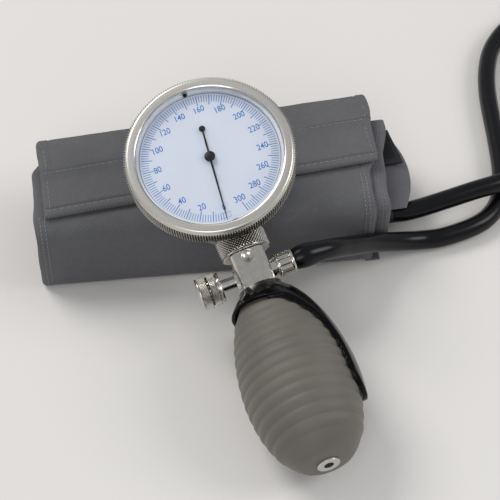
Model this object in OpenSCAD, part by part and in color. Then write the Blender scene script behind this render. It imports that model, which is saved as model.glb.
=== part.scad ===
// Palm-type aneroid sphygmomanometer, laid down as for storage: a round gauge on a chrome valve body
// with a squeeze bulb and a spoon guard, lying over its folded arm cuff, and one hose between them.
// Millimetres. The origin is the centre of the cuff's underside, X runs along the cuff's width, Z is up.

/* [Cuff] */
// Width of the folded cuff, along X
cuff_width = 135; // [115:1:155]
// Depth of the folded cuff, from the user's side to the far side
cuff_depth = 56; // [50:1:70]
// Thickness of one padded layer of the cuff
fabric_t = 3; // [2.6:0.1:3.2]
// Free space between two layers
layer_gap = 0.34; // [0.3:0.02:0.5]
// Layers in the folded package, under the flap
layer_count = 10; // [9:1:11]
// Radius of the package's outer corners
fold_corner = 8; // [8:0.5:12]
// How far the inner fold stands out at the hose end
fold_overhang = 7; // [3:0.5:9]
// Thickness of the closing flap
flap_t = 2.2; // [1.8:0.1:2.8]
// Length of the closing flap, from its seam to its hem
flap_length = 23.5; // [20:0.5:27]
// Length of the band between the far edge and the flap's seam, at mid-width
band_length = 18.4; // [17:0.2:22]
// Turn of the flap and its seam against the package, in degrees
flap_skew = 4.4; // [0:0.2:5]
// Width of the flap's folded hem
hem_w = 3.4; // [2.5:0.1:5]
// Thickness of the deflated bladder
bladder_t = 8.6; // [8.4:0.1:9]
// Radius of the bladder's tube neck
tube_neck_r = 4.1; // [4:0.05:4.2]
// How far the bladder's sides lie inside the cuff's
bladder_inset = 8; // [7:0.5:10]
// Length of the tube neck inside the cuff
neck_inset = 14; // [12:0.5:15]
// How far the folded end's left side lies inside the cuff's
end_inset = 6; // [5:0.5:9]
// Radius of the folded end's right side
end_round_r = 60; // [50:1:70]
// Length of the hook strip inside the cuff
hook_lead = 40; // [30:1:45]
// Width of the hook strip on the cuff's folded end
hook_w = 18; // [12:1:20]
// Width of the size tab at the cuff's foot
tab_w = 6; // [5:0.5:12]
// Thickness of the hook strip
hook_t = 2; // [1.5:0.1:2.4]
// How far the folded end stands out at the hose end
end_overhang = 17; // [12:1:20]

/* [Hose] */
// Outside diameter of the hose
hose_d = 8; // [7.6:0.1:8.2]

/* [Placement] */
// Place of the hand unit along X, at the foot of its collar nut
hand_x = 7.4; // [4:0.2:11]
// Turn of the hand unit about the upright, in degrees
hand_yaw = 12.8; // [8:0.1:14]
// Bend of the bulb's neck up from the valve body's axis, in degrees
bulb_bend = 13; // [11:0.1:14]
// Bend of the bulb's neck to the right of the valve body's axis, in degrees
bulb_swing = -1.8; // [-3:0.1:1]
// Depth of the flat where the bulb bears on the table
flat_cut = 0.4; // [0.3:0.05:0.6]
// Slope of the hand unit down to the user, in degrees
hand_slope = 19.8; // [19:0.1:21]
// Roll of the hand unit about its own axis, in degrees
hand_roll = -11; // [-13:0.5:-8]

/* [Gauge] */
// Thickness of the bezel's fluted band round the case
bezel_wall = 2.5; // [2.1:0.1:2.8]
// Depth of the bezel, from its front face
bezel_depth = 7.8; // [7.2:0.1:8]
// How far the bezel's front reaches in over the crystal from the case's side
bezel_lip = 2.2; // [1.9:0.1:2.5]
// Radius of the case under the bezel
case_r = 31; // [30.8:0.1:31.4]
// Depth of the case's back, from the bezel's front face
case_depth = 23.7; // [23.2:0.1:24.2]
// Radius of the case's flat back
back_r = 20.5; // [19:0.5:22]
// Thickness of the case's back wall
back_wall = 1.2; // [1:0.1:1.2]
// Radius of the case's neck, at the collar nut
neck_r = 9.2; // [8.6:0.1:9.3]
// Distance along the dial from the gauge's centre to the foot of the collar nut
neck_reach = 37.2; // [36:0.2:40]
// Depth of the stem's axis behind the bezel's front, at the foot of the collar nut
stem_depth = 18; // [17.9:0.1:18.6]
// Thickness of the crystal
crystal_t = 1.2; // [1:0.1:1.3]
// Depth of the dial's face behind the bezel's front
dial_depth = 3.6; // [3.5:0.05:3.8]
// Thickness of the dial plate
dial_t = 0.5; // [0.4:0.05:0.6]
// Length of the pointer, from its centre
pointer_length = 26.2; // [22:0.2:27]

/* [Movement] */
// Gear module of the sector and the pinion
gear_module = 0.25; // [0.24:0.005:0.26]
// Teeth of the pinion
pinion_teeth = 12; // [12:1:12]
// Teeth that a full circle of the sector would have
sector_teeth = 90; // [90:1:90]
// Swing of the sector over the scale, in degrees
sector_swing = 45.5; // [40:0.5:46]
// Lift of the capsule over the scale
capsule_lift = 1.6; // [1.2:0.05:1.65]
// Radius of the capsule
capsule_r = 17; // [15:0.25:17.5]
// Length of the rocker's arm over the capsule
rocker_arm = 4; // [4:0.05:4.4]
// Length of the rocker's finger
rocker_finger = 5; // [4.8:0.05:5.1]

/* [Valve body] */
// Radius of the collar nut
collar_r = 9.8; // [9.4:0.1:9.9]
// Height of the collar nut
collar_h = 8; // [7.6:0.1:8.6]
// Width of the valve body over its flats
body_w = 13.4; // [12.8:0.1:14.2]
// Length of the valve body below the collar nut
body_l = 14.8; // [14.6:0.1:16]
// Distance of the side ports below the collar nut
port_s = 8.8; // [8.4:0.1:9.2]
// Radius of the release knob
knob_r = 6.4; // [5.6:0.1:7]
// Length of the release knob
knob_l = 9.6; // [9:0.1:11]
// Distance from the axis to the release knob's inner end
knob_start = 13.6; // [13:0.1:15]
// Radius of the release spindle
spindle_r = 2.4; // [2.2:0.05:2.5]
// Travel of the release spindle, closed to open
release_travel = 1.4; // [1:0.1:1.4]
// Radius of the hose connector nut
nut_r = 4.8; // [4.4:0.1:5.2]
// Length of the hose connector nut
nut_l = 7; // [6.5:0.1:7.5]

/* [Bulb] */
// Largest diameter of the bulb, without its ribs
bulb_d = 41.4; // [40:0.2:44]
// Distance from the collar nut to the bulb's widest place
bulb_wide_s = 61; // [58:1:64]
// Distance from the collar nut to the bulb's end
bulb_end_s = 92.4; // [90:0.2:94]
// Radius of the bulb's neck
bulb_neck_r = 7.8; // [7.2:0.1:8.2]
// Wall of the bulb
bulb_wall = 2.2; // [1.8:0.1:2.4]
// Height of a rib on the bulb
rib_h = 0.5; // [0.2:0.05:0.6]
// Ribs on the bulb
rib_count = 13; // [8:1:14]
// Thickness of the spoon guard
guard_t = 1.8; // [1.4:0.1:2.2]
// Place of the spoon guard's tip, below the collar nut
guard_tip_s = 73; // [68:0.5:76]
// Half the width of the guard's spoon
spoon_half_w = 10.8; // [9:0.2:12]
// Turn of the spoon about the bulb, up from its right side, in degrees
guard_angle = 0; // [-10:1:15]
// Radius of the end valve's plate
end_plate_r = 4.3; // [4.2:0.05:4.8]
// Lift of each check valve's disc
check_lift = 1; // [0.8:0.05:1.1]

/* [Fits] */
// Radial clearance of a shaft in its bearing
running_gap = 0.05; // [0.03:0.01:0.08]
// Clearance of a piece that is seated and doesn't move
seat_gap = 0.05; // [0.02:0.01:0.08]
// Space that soft pieces leave to their neighbours
soft_gap = 0.3; // [0.2:0.05:0.4]

/* [Hidden] */
$fn = 64;

// Heights in the folded cuff
pitch = fabric_t + layer_gap;
package_h = layer_count * pitch - layer_gap;
flap_top = package_h + layer_gap + flap_t;
half_depth = cuff_depth / 2;

seam_y = half_depth - band_length;
hem_mid_y = seam_y - flap_length;
end_t = 4.2;
bladder_z = 2 * pitch + 0.1;
hose_end_z = bladder_z + bladder_t / 2;
hose_end = [cuff_width / 2 + fold_overhang - 1,
  -half_depth + pitch + fabric_t + soft_gap + tube_neck_r, hose_end_z];
function skewed_y(x, middle) = middle + x * tan(flap_skew);
function hem_y(x) = skewed_y(x, hem_mid_y);

// Places in the gauge, behind the bezel's front face
lip_t = 0.8;
bezel_r = case_r + bezel_wall;
bezel_open_r = case_r - bezel_lip;
crystal_edge_r = case_r - 0.1;
rim_depth = lip_t + seat_gap + crystal_t + seat_gap;
dial_r = case_r - 1.1;
dial_back = dial_depth + dial_t;
seat_r = dial_r - 2.6;
shelf_r = seat_r - 2;
plate_t = 0.8;
top_plate_r = 17;
floor_depth = case_depth - back_wall;
block_t = 5;
block_reach = 15;
pan_t = 0.7;
pan_depth = floor_depth - block_t;
base_plate_depth = pan_depth - 7.2;
top_plate_depth = base_plate_depth - 4;
pipe_depth = stem_depth + 1.4;
pipe_r = 0.9;

// Places of the gear train, seen from the front of the dial
pinion_pitch_r = gear_module * pinion_teeth / 2;
sector_pitch_r = gear_module * sector_teeth / 2;
gear_ratio = sector_teeth / pinion_teeth;
rocker_y = rocker_arm;
finger_r = 0.35;
contact_gap = 0.08;
sector_y = rocker_y + 2 * finger_r + contact_gap;
sector_x = sqrt(pow(pinion_pitch_r + sector_pitch_r, 2) - sector_y * sector_y);
sector_to_pinion = atan2(-sector_y, -sector_x);
rocker_swing = 2 * asin(capsule_lift / 2 / rocker_arm);
tail_r = rocker_finger * sin(rocker_swing / 2) / sin(sector_swing / 2);
finger_x = sector_x + tail_r;
arm_t = 0.7;
post_rise = 2;
disc_rest_depth = pan_depth - pan_t - 1;
post_top_depth = disc_rest_depth - post_rise;
rocker_depth = post_top_depth - contact_gap - arm_t / 2 / cos(rocker_swing / 2) - capsule_lift / 2;
gear_depth = base_plate_depth - plate_t - 1.4;
gear_t = 0.7;
zero_turn = 6;
screw_pcr = seat_r + 0.9;
arbor_r = 0.5;

// Places along the hand unit's axis, below the collar nut
flange_t = 1.4;
nut_floor = 2;
spigot_seat_r = 6.2;
collar_thread_r = 7.3;
spigot_r = 4.8;
spigot_start = body_l - 2;
guard_plate_t = 3;
spigot_flange_s = body_l + guard_plate_t;
spigot_flange_t = 1.2;
neck_start = spigot_flange_s + spigot_flange_t + 0.2;
spigot_end = neck_start + 9;
gallery_r = 1.6;
disc_r = 2.1;
disc_t = 0.8;
chamber_r = disc_r + 0.3;
outlet_seat_s = spigot_end - 4;
inlet_seat_s = bulb_end_s - 1.2;
guard_ring_s = neck_start + 8.8;
ring_slant = 12;
guard_gap = 0.4;
rib_run = 58;
rib_first = bulb_wide_s - rib_run * 0.57;
rib_pitch = rib_run / rib_count;
bulb_r = bulb_d / 2;
bush_r = 3.4;
seat_depth = 3.6;
port_flange = 2.3;

function bulb_shape(s) =
  s < bulb_wide_s
    ? bulb_r * sqrt(max(0, 1 - pow((bulb_wide_s - s) / (bulb_wide_s - 15.5), 1.8)))
    : bulb_r * pow(max(0, 1 - pow((s - bulb_wide_s) / (bulb_end_s + 2 - bulb_wide_s), 2)), 0.4);
function rib(s) =
  s < rib_first || s > rib_first + rib_count * rib_pitch
    ? 0 : rib_h * (0.5 - 0.5 * cos(360 * (s - rib_first) / rib_pitch));
function bulb_out(s) = max(bulb_neck_r, bulb_shape(s)) + rib(s);
function guard_in(s) = max(bulb_neck_r, bulb_shape(s)) + rib_h + guard_gap;

// The turn of the hand unit, as three steps: roll, slope, yaw
function rolled(v) = [v.x * cos(hand_roll) + v.z * sin(hand_roll), v.y,
  v.z * cos(hand_roll) - v.x * sin(hand_roll)];
function sloped(v, a) = [v.x, v.y * cos(a) - v.z * sin(a), v.y * sin(a) + v.z * cos(a)];
function yawed(v, a) = [v.x * cos(a) - v.y * sin(a), v.x * sin(a) + v.y * cos(a), v.z];
function hand_turned(v) = yawed(sloped(rolled(v), hand_slope), hand_yaw);
function bulb_turned(v) = hand_turned(yawed(sloped(v, -bulb_bend), bulb_swing));

// The bulb lies on the table and the case's back lies on the flap's hem
valve_way = hand_turned([0, -1, 0]);
bulb_way = bulb_turned([0, -1, 0]);
hand_z = max([for (s = [neck_start:0.5:bulb_end_s - 2])
  bulb_out(s) * sqrt(1 - pow(bulb_way.z, 2)) - bulb_way.z * (s - body_l) - valve_way.z * body_l]) - flat_cut;
hem_point = [hand_x - 26, hem_y(hand_x - 26), flap_top + soft_gap];
face_normal = hand_turned([0, 0, 1]);
back_place = hand_turned([0, neck_reach, stem_depth - case_depth]);
hand_y = (face_normal * (hem_point - back_place) - face_normal.x * hand_x - face_normal.z * hand_z)
  / face_normal.y;

// Hand unit: origin at the foot of the collar nut, Y towards the gauge, Z out on the dial's side
module on_hand() {
  translate([hand_x, hand_y, hand_z]) rotate([0, 0, hand_yaw]) rotate([hand_slope, 0, 0])
    rotate([0, hand_roll, 0]) children();
}

// Gauge: origin at the centre of the bezel's front face, Z out of the dial, Y to its top
module on_gauge() {
  on_hand() translate([0, neck_reach, stem_depth]) children();
}

// Axis: Z runs from the collar nut's foot towards the bulb's end, Y out on the dial's side
module on_axis() {
  on_hand() rotate([90, 0, 0]) children();
}

// Bulb: the axis, bent at the valve body's foot
module on_bulb() {
  on_axis() translate([0, 0, body_l]) rotate([-bulb_bend, bulb_swing, 0])
    translate([0, 0, -body_l]) children();
}

// Release valve: Z runs out to the left from the valve body's centre
module on_release() {
  on_axis() translate([0, 0, port_s]) rotate([0, -90, 0]) children();
}

// Hose port: Z runs out to the right from the valve body's centre
module on_port() {
  on_axis() translate([0, 0, port_s]) rotate([0, 90, 0]) children();
}

module ring(r_out, r_in, low, high) {
  translate([0, 0, low]) difference() {
    cylinder(r = r_out, h = high - low);
    translate([0, 0, -1]) cylinder(r = r_in, h = high - low + 2);
  }
}

module disc(r, low, high) {
  translate([0, 0, low]) cylinder(r = r, h = high - low);
}

// Gauge pieces

module bezel_ring() {
  wall_r = case_r + seat_gap;
  rim_r = bezel_r - 1.1;
  color("#c9c4b8") on_gauge() rotate_extrude($fn = 96) polygon([
    [bezel_open_r, 0], [bezel_open_r + 0.4, 0.15], [rim_r - 0.7, 0.15], [rim_r - 0.2, -0.4],
    [rim_r, -bezel_depth * 0.52], [bezel_r, -bezel_depth * 0.55], [bezel_r, -bezel_depth + 0.3],
    [bezel_r - 0.3, -bezel_depth], [wall_r, -bezel_depth], [wall_r, -lip_t], [bezel_open_r, -lip_t]
  ]);
}

module crystal() {
  dome = 0.9;
  edge = -lip_t - seat_gap;
  inner_r = bezel_open_r - 0.3;
  steps = 8;
  top = [for (i = [0:steps]) let (r = inner_r * i / steps) [r, edge + dome * (1 - pow(i / steps, 2))]];
  low = [for (i = [steps:-1:0]) let (r = inner_r * i / steps)
    [r, edge - crystal_t + dome * (1 - pow(i / steps, 2))]];
  color([0.85, 0.92, 0.98, 0.35]) on_gauge() rotate_extrude($fn = 96)
    polygon(concat(top, [[crystal_edge_r, edge], [crystal_edge_r, edge - crystal_t]], low));
}

module dial_ring() {
  notch_r = 1.2;
  color("#cfdbe8") on_gauge() difference() {
    ring(dial_r - seat_gap, bezel_open_r - 1.1, -dial_depth, -rim_depth);
    for (y = [-screw_pcr, screw_pcr]) translate([0, y, -dial_depth - 1]) cylinder(r = notch_r, h = 3, $fn = 24);
  }
}

module dial_plate() {
  color("#d3dae2") on_gauge() difference() {
    disc(dial_r - seat_gap, -dial_back, -dial_depth);
    translate([0, 0, -dial_back - 1]) cylinder(r = 1.3, h = 3);
    for (y = [-screw_pcr, screw_pcr]) translate([0, y, -dial_back - 1])
      cylinder(r = 0.55, h = 3, $fn = 24);
  }
}

module dial_screws() {
  color("#26282b") on_gauge() for (y = [-screw_pcr, screw_pcr]) translate([0, y, 0]) {
    translate([0, 0, -dial_depth]) cylinder(r = 0.75, h = 0.5, $fn = 24);
    translate([0, 0, -dial_back - 0.9]) cylinder(r = 0.5, h = 0.9 + dial_t, $fn = 24);
  }
}

module pointer() {
  hub_r = 2.1;
  needle_t = 0.35;
  weight_reach = 12.1;
  needle_depth = rim_depth + 0.7;
  color("#141517") on_gauge() rotate([0, 0, -90 - zero_turn]) translate([0, 0, -needle_depth]) {
    difference() {
      union() {
        linear_extrude(needle_t) polygon([[-weight_reach, 0.3], [0, 0.45], [pointer_length * 0.8, 0.3],
          [pointer_length, 0.12], [pointer_length, -0.12], [pointer_length * 0.8, -0.3], [0, -0.45],
          [-weight_reach, -0.3]]);
        translate([-weight_reach, 0, 0]) cylinder(r = 1.3, h = needle_t, $fn = 32);
        cylinder(r = hub_r, h = 0.9);
        translate([0, 0, 0.9]) cylinder(r1 = hub_r, r2 = hub_r - 0.5, h = 0.3);
      }
      translate([0, 0, -1]) cylinder(r = arbor_r + seat_gap, h = 1.7);
    }
  }
}

// One toothed outline: a tooth every turn / teeth degrees, from tooth first to tooth last
function tooth_points(teeth, size, middle) =
  let (
    root = size * teeth / 2 - 1.1 * size,
    tip = size * teeth / 2 + 0.75 * size,
    pitch_r = size * teeth / 2,
    half = 90 / teeth - 0.018 / pitch_r * 57.3,
    root_half = half * 1.45,
    tip_half = half * 0.42
  )
  [
    [root * cos(middle - root_half), root * sin(middle - root_half)],
    [pitch_r * cos(middle - half), pitch_r * sin(middle - half)],
    [tip * cos(middle - tip_half), tip * sin(middle - tip_half)],
    [tip * cos(middle + tip_half), tip * sin(middle + tip_half)],
    [pitch_r * cos(middle + half), pitch_r * sin(middle + half)],
    [root * cos(middle + root_half), root * sin(middle + root_half)]
  ];

module pinion_arbor() {
  foot_depth = base_plate_depth + 0.3;
  head_depth = rim_depth + 0.1;
  mid_turn = sector_to_pinion + 180 + 180 / pinion_teeth;
  color("#c8a050") on_gauge() {
    disc(arbor_r, -foot_depth, -head_depth);
    disc(0.95, -gear_depth + 0.9, -gear_depth + 1.5);
    translate([0, 0, -gear_depth - 0.1]) rotate([0, 0, mid_turn + gear_ratio * sector_swing / 2])
      linear_extrude(gear_t + 0.2) polygon([for (i = [0:pinion_teeth - 1])
        each tooth_points(pinion_teeth, gear_module, i * 360 / pinion_teeth)]);
  }
}

module hairspring() {
  turns = 4;
  steps = 24 * turns;
  start_r = 1.15;
  step_r = 0.85;
  strip = 0.16;
  spring_depth = gear_depth - 1.3;
  function spiral(i, side) = let (a = 360 * turns * i / steps, r = start_r + step_r * a / 360 + side)
    [r * cos(a), r * sin(a)];
  stud_x = start_r + step_r * turns + 0.3;
  color("#d8d2c0") on_gauge() {
    translate([0, 0, -spring_depth]) linear_extrude(0.35) polygon(concat(
      [for (i = [0:steps]) spiral(i, strip / 2)], [for (i = [steps:-1:0]) spiral(i, -strip / 2)]));
    translate([stud_x, 0, -spring_depth]) cylinder(r = 0.4, h = spring_depth - top_plate_depth, $fn = 24);
  }
}

module sector_gear() {
  first = -8;
  last = 8;
  web = 0.9;
  pitch_angle = 360 / sector_teeth;
  rim_in = sector_pitch_r - 1.1 * gear_module - web;
  span = (last + 0.5) * pitch_angle;
  color("#c8a050") on_gauge() translate([sector_x, sector_y, 0]) {
    disc(arbor_r, -base_plate_depth - 0.2, -top_plate_depth + plate_t + 0.2);
    translate([0, 0, -gear_depth]) rotate([0, 0, -sector_swing / 2]) linear_extrude(gear_t) difference() {
      union() {
        circle(r = 1.5);
        polygon(concat([[0, 0]], [for (i = [first:last])
          each tooth_points(sector_teeth, gear_module, sector_to_pinion + i * pitch_angle)]));
        translate([0, -0.3]) square([tail_r, 0.6]);
        translate([tail_r, 0]) circle(r = finger_r, $fn = 24);
      }
      rotate([0, 0, sector_to_pinion]) for (side = [-1, 1]) polygon([
        [3, side * 0.7],
        [rim_in * cos(span - 7), side * rim_in * sin(span - 7)],
        [rim_in * cos(4), side * rim_in * sin(4)]
      ]);
    }
  }
}

module rocker_shaft() {
  rest_turn = rocker_swing / 2;
  color("#b9bdc2") on_gauge() translate([0, rocker_y, -rocker_depth]) rotate([rest_turn, 0, 0]) {
    translate([-1.6, 0, 0]) rotate([0, 90, 0]) cylinder(r = 0.6, h = finger_x + 2.4);
    translate([-0.9, -rocker_arm - 0.3, -arm_t / 2]) cube([1.8, rocker_arm + 0.3, arm_t]);
    translate([finger_x, 0, 0]) cylinder(r = finger_r, h = rocker_finger + 0.6, $fn = 24);
  }
}

// Places of the three pillars and of the two outer screws, seen from the front of the dial
pillar_places = [[-12, 5.5], [-12, -5], [sector_x + 2.6, -5]];
plate_low = -7;
plate_high = 8;

module plate_outline(reach) {
  intersection() {
    circle(r = reach);
    translate([-reach, plate_low]) square([2 * reach, plate_high - plate_low]);
  }
}

module movement_top_plate() {
  color("#c3b27a") on_gauge() translate([0, 0, -top_plate_depth]) linear_extrude(plate_t) difference() {
    plate_outline(top_plate_r);
    circle(r = arbor_r + running_gap);
    translate([sector_x, sector_y]) circle(r = arbor_r + running_gap);
    for (p = pillar_places) translate(p) circle(r = 0.6 + seat_gap, $fn = 24);
  }
}

module movement_base_plate() {
  reach = seat_r - 0.2;
  lug_t = 1;
  lug_top = rocker_depth + 1.1;
  module lug(x) {
    translate([x, rocker_y, 0]) difference() {
      translate([0, -1.2, -lug_top]) cube([lug_t, 2.4, lug_top - base_plate_depth + 0.1]);
      translate([-1, 0, -rocker_depth]) rotate([0, 90, 0]) cylinder(r = 0.6 + running_gap, h = lug_t + 2);
    }
  }
  color("#c3b27a") on_gauge() {
    translate([0, 0, -base_plate_depth]) linear_extrude(plate_t) difference() {
      plate_outline(reach);
      circle(r = arbor_r + running_gap);
      translate([sector_x, sector_y]) circle(r = arbor_r + running_gap);
      translate([finger_x, rocker_y]) square([1.8, 4], center = true);
      for (p = pillar_places) translate(p) circle(r = 0.6 + seat_gap, $fn = 24);
      for (x = [-1, 1]) translate([x * (shelf_r + 0.9), 0]) circle(r = 0.55, $fn = 24);
    }
    lug(2.2);
    lug(finger_x - 4.8);
  }
}

module movement_pillars() {
  low = base_plate_depth - plate_t;
  high = top_plate_depth;
  color("#b9bdc2") on_gauge() for (p = pillar_places) translate([p.x, p.y, 0]) {
    disc(1.1, -low, -high);
    disc(0.6, -low - plate_t, -high + plate_t);
  }
}

module movement_screws() {
  color("#b9bdc2") on_gauge() for (x = [-1, 1]) translate([x * (shelf_r + 0.9), 0, 0]) {
    disc(0.95, -base_plate_depth + plate_t, -base_plate_depth + plate_t + 0.6);
    disc(0.5, -base_plate_depth - 1.2, -base_plate_depth + plate_t + 0.1);
  }
}

module capsule_top() {
  rim_r = capsule_r - 0.7 - 2 * running_gap;
  color("#d9c48a") on_gauge() rotate_extrude() polygon([
    [0, -disc_rest_depth - 0.8], [rim_r, -disc_rest_depth - 0.8], [rim_r, -disc_rest_depth - 0.1],
    [rim_r - 2, -disc_rest_depth - 0.1], [rim_r - 3, -disc_rest_depth - 0.4],
    [rim_r - 5, -disc_rest_depth - 0.4], [rim_r - 6, -disc_rest_depth], [rim_r - 8, -disc_rest_depth],
    [rim_r - 9, -disc_rest_depth - 0.3], [3.4, -disc_rest_depth - 0.3], [2.4, -disc_rest_depth],
    [1.2, -disc_rest_depth], [1.2, -post_top_depth - 0.8], [0.25, -post_top_depth], [0, -post_top_depth]
  ]);
}

module capsule_pan() {
  wall_top = disc_rest_depth - capsule_lift - 0.3;
  color("#d9c48a") on_gauge() difference() {
    disc(capsule_r, -pan_depth, -wall_top);
    disc(capsule_r - 0.7, -pan_depth + pan_t, -wall_top + 1);
    disc(0.8, -pan_depth - 1, -pan_depth + 2);
  }
}

module capsule_base() {
  color("#c8a050") on_gauge() difference() {
    union() {
      disc(7, -floor_depth, -pan_depth);
      translate([-3, -block_reach, -floor_depth]) cube([6, block_reach, block_t]);
    }
    translate([0, -block_reach - 1, -pipe_depth]) rotate([-90, 0, 0])
      cylinder(r = pipe_r + seat_gap, h = block_reach - 2);
    translate([0, -4, -pipe_depth]) rotate([-90, 0, 0]) cylinder(r = 0.8, h = 4.5);
    disc(0.8, -pipe_depth, -pan_depth + 1);
  }
}

// Stem: a straight socket in the case's neck and a thin pipe to the capsule's base
stem_r = 2.6;
stem_inner_end = 11.5;

neck_y = -neck_reach + stem_inner_end - 1;

module gauge_stem() {
  color("#c8a050") difference() {
    union() {
      on_axis() disc(stem_r, -stem_inner_end, -nut_floor - flange_t - 0.6);
      on_gauge() translate([0, neck_y, -pipe_depth]) rotate([-90, 0, 0])
        cylinder(r = pipe_r, h = -neck_y - 3.5);
    }
    on_axis() disc(1.2, -stem_inner_end + 0.7, 0);
    on_gauge() translate([0, neck_y, -pipe_depth]) rotate([-90, 0, 0]) cylinder(r = 0.45, h = -neck_y);
  }
}

module stem_seal() {
  color("#1d1d1f") on_axis() ring(spigot_seat_r - 0.4, stem_r + seat_gap,
    -nut_floor - flange_t - 1.2, -nut_floor - flange_t);
}

module gauge_case() {
  shoulder = bezel_depth + 0.3;
  nut_top = -collar_h;
  color("#8f8f8c") difference() {
    union() {
      on_gauge() disc(case_r, -shoulder, -rim_depth);
      difference() {
        hull() {
          on_gauge() translate([0, 0, -shoulder - 0.2]) cylinder(r = case_r - 0.1, h = 1);
          on_gauge() translate([0, 0, -case_depth]) cylinder(r = back_r, h = 0.3);
          on_gauge() translate([0, 0, -case_depth + 1]) cylinder(r = back_r + 2.4, h = 0.3);
          on_axis() translate([0, 0, nut_top - 2.4]) cylinder(r = neck_r, h = 2);
          on_axis() translate([0, 0, nut_top - 1]) cylinder(r = neck_r - 0.4, h = 1 - 2 * seat_gap);
        }
        on_axis() disc(collar_r + 6, nut_top - seat_gap, 10);
      }
      on_axis() disc(collar_thread_r, nut_top - 2, -nut_floor - flange_t - 1.2);
    }
    on_gauge() disc(dial_r, -dial_back, -rim_depth + 1);
    on_gauge() disc(seat_r, -base_plate_depth, -dial_back + 1);
    on_gauge() translate([0, 0, -floor_depth])
      cylinder(r1 = back_r + 0.9, r2 = shelf_r, h = floor_depth - base_plate_depth + 0.01);
    on_axis() disc(stem_r + seat_gap, -stem_inner_end - seat_gap, 1);
    on_gauge() translate([0, neck_y, -pipe_depth]) rotate([-90, 0, 0])
      cylinder(r = pipe_r + seat_gap, h = -neck_y - 15);
    on_gauge() for (x = [-1, 1]) translate([x * (shelf_r + 0.9), 0, -base_plate_depth - 1.4])
      cylinder(r = 0.55, h = 2, $fn = 24);
    on_gauge() for (y = [-screw_pcr, screw_pcr]) translate([0, y, -dial_back - 1.1])
      cylinder(r = 0.55, h = 2, $fn = 24);
  }
}

// Valve body pieces

module collar_nut() {
  chamfer = 0.5;
  color("#b5b5b2") on_axis() rotate_extrude() polygon([
    [spigot_seat_r + running_gap, 0], [collar_r - chamfer, 0], [collar_r, -chamfer],
    [collar_r, -collar_h + chamfer], [collar_r - chamfer, -collar_h],
    [collar_thread_r + seat_gap, -collar_h], [collar_thread_r + seat_gap, -nut_floor],
    [spigot_seat_r + running_gap, -nut_floor]
  ]);
}

module valve_body() {
  flat = body_w / 2;
  dimple_r = 3.4;
  color("#c4c3bf") on_axis() difference() {
    union() {
      disc(spigot_seat_r, -nut_floor - 0.1, 0.2);
      disc(collar_thread_r - 0.1, -nut_floor - flange_t, -nut_floor - seat_gap);
      translate([0, 0, 0.15]) linear_extrude(body_l - 0.15) intersection() {
        square(body_w, center = true);
        circle(r = flat * 1.22);
      }
    }
    disc(gallery_r, -nut_floor - flange_t - 1, spigot_start + 1);
    disc(spigot_r + seat_gap, spigot_start - seat_gap, body_l + 1);
    translate([0, 0, port_s]) rotate([0, -90, 0]) {
      cylinder(r = 1.2, h = seat_depth + 1);
      translate([0, 0, seat_depth]) cylinder(r = bush_r, h = body_w);
    }
    translate([0, 0, port_s]) rotate([0, 90, 0]) {
      cylinder(r = 1.2, h = seat_depth + 1);
      translate([0, 0, seat_depth]) cylinder(r = bush_r - 0.8, h = body_w);
    }
    translate([0, flat + 2.2, 3]) sphere(r = dimple_r);
  }
}

module release_bush() {
  flat = body_w / 2;
  color("#9a9a98") on_release() difference() {
    union() {
      disc(bush_r - seat_gap, seat_depth + seat_gap, flat);
      translate([0, 0, flat]) cylinder(r1 = bush_r + 0.9, r2 = bush_r + 0.3, h = 1.2);
    }
    disc(spindle_r + running_gap, seat_depth - 1, flat + 2);
    disc(spindle_r + 0.55, flat - 1.2, flat - 0.2);
  }
}

module release_seal() {
  flat = body_w / 2;
  color("#1d1d1f") on_release() ring(spindle_r + 0.5, spindle_r + running_gap, flat - 1.15, flat - 0.25);
}

module release_spindle() {
  cone_l = 1.6;
  tip = seat_depth + 0.1;
  color("#c4c3bf") on_release() {
    disc(spindle_r, tip + cone_l, knob_start + knob_l - 1.6);
    translate([0, 0, tip]) cylinder(r1 = 1.1, r2 = spindle_r, h = cone_l);
  }
}

module release_knob() {
  low = knob_start;
  high = knob_start + knob_l;
  groove = (low + high) / 2;
  bore_end = high - 1.5;
  bore = spindle_r + running_gap;
  color("#b5b5b2") on_release() rotate_extrude() polygon([
    [bore, low], [knob_r - 0.5, low], [knob_r - 0.5, low + 0.9], [knob_r - 1.1, low + 0.9],
    [knob_r - 1.1, low + 1.3], [knob_r, low + 1.6], [knob_r, groove - 0.5], [knob_r - 0.7, groove - 0.3],
    [knob_r - 0.7, groove + 0.3], [knob_r, groove + 0.5], [knob_r, high - 1.2], [knob_r - 0.3, high - 0.5],
    [knob_r - 1, high - 0.1], [knob_r - 2, high], [0, high], [0, bore_end], [bore, bore_end]
  ]);
}

module hose_port() {
  flat = body_w / 2;
  bore_r = bush_r - 0.8;
  color("#9a9a98") on_port() difference() {
    union() {
      disc(bore_r - seat_gap, seat_depth + seat_gap, flat + 0.1);
      disc(nut_r - 1.1, flat, flat + port_flange);
      disc(2.2, flat + port_flange - 0.1, flat + port_flange + nut_l + 0.1);
    }
    disc(1.2, 0, flat + port_flange + nut_l + 1);
  }
}

module connector_nut() {
  low = body_w / 2 + port_flange + 0.1;
  high = low + nut_l;
  flutes = 14;
  color("#9a9a98") on_port() difference() {
    ring(nut_r, 2.2 + running_gap, low, high);
    for (i = [0:flutes - 1]) rotate([0, 0, i * 360 / flutes]) translate([nut_r + 0.25, 0, low + 0.9])
      cylinder(r = 0.6, h = nut_l - 2.1, $fn = 16);
  }
}

// Bulb pieces

// What lies below the valve body's foot
module below_body() {
  on_axis() disc(60, body_l, 150);
}

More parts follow.
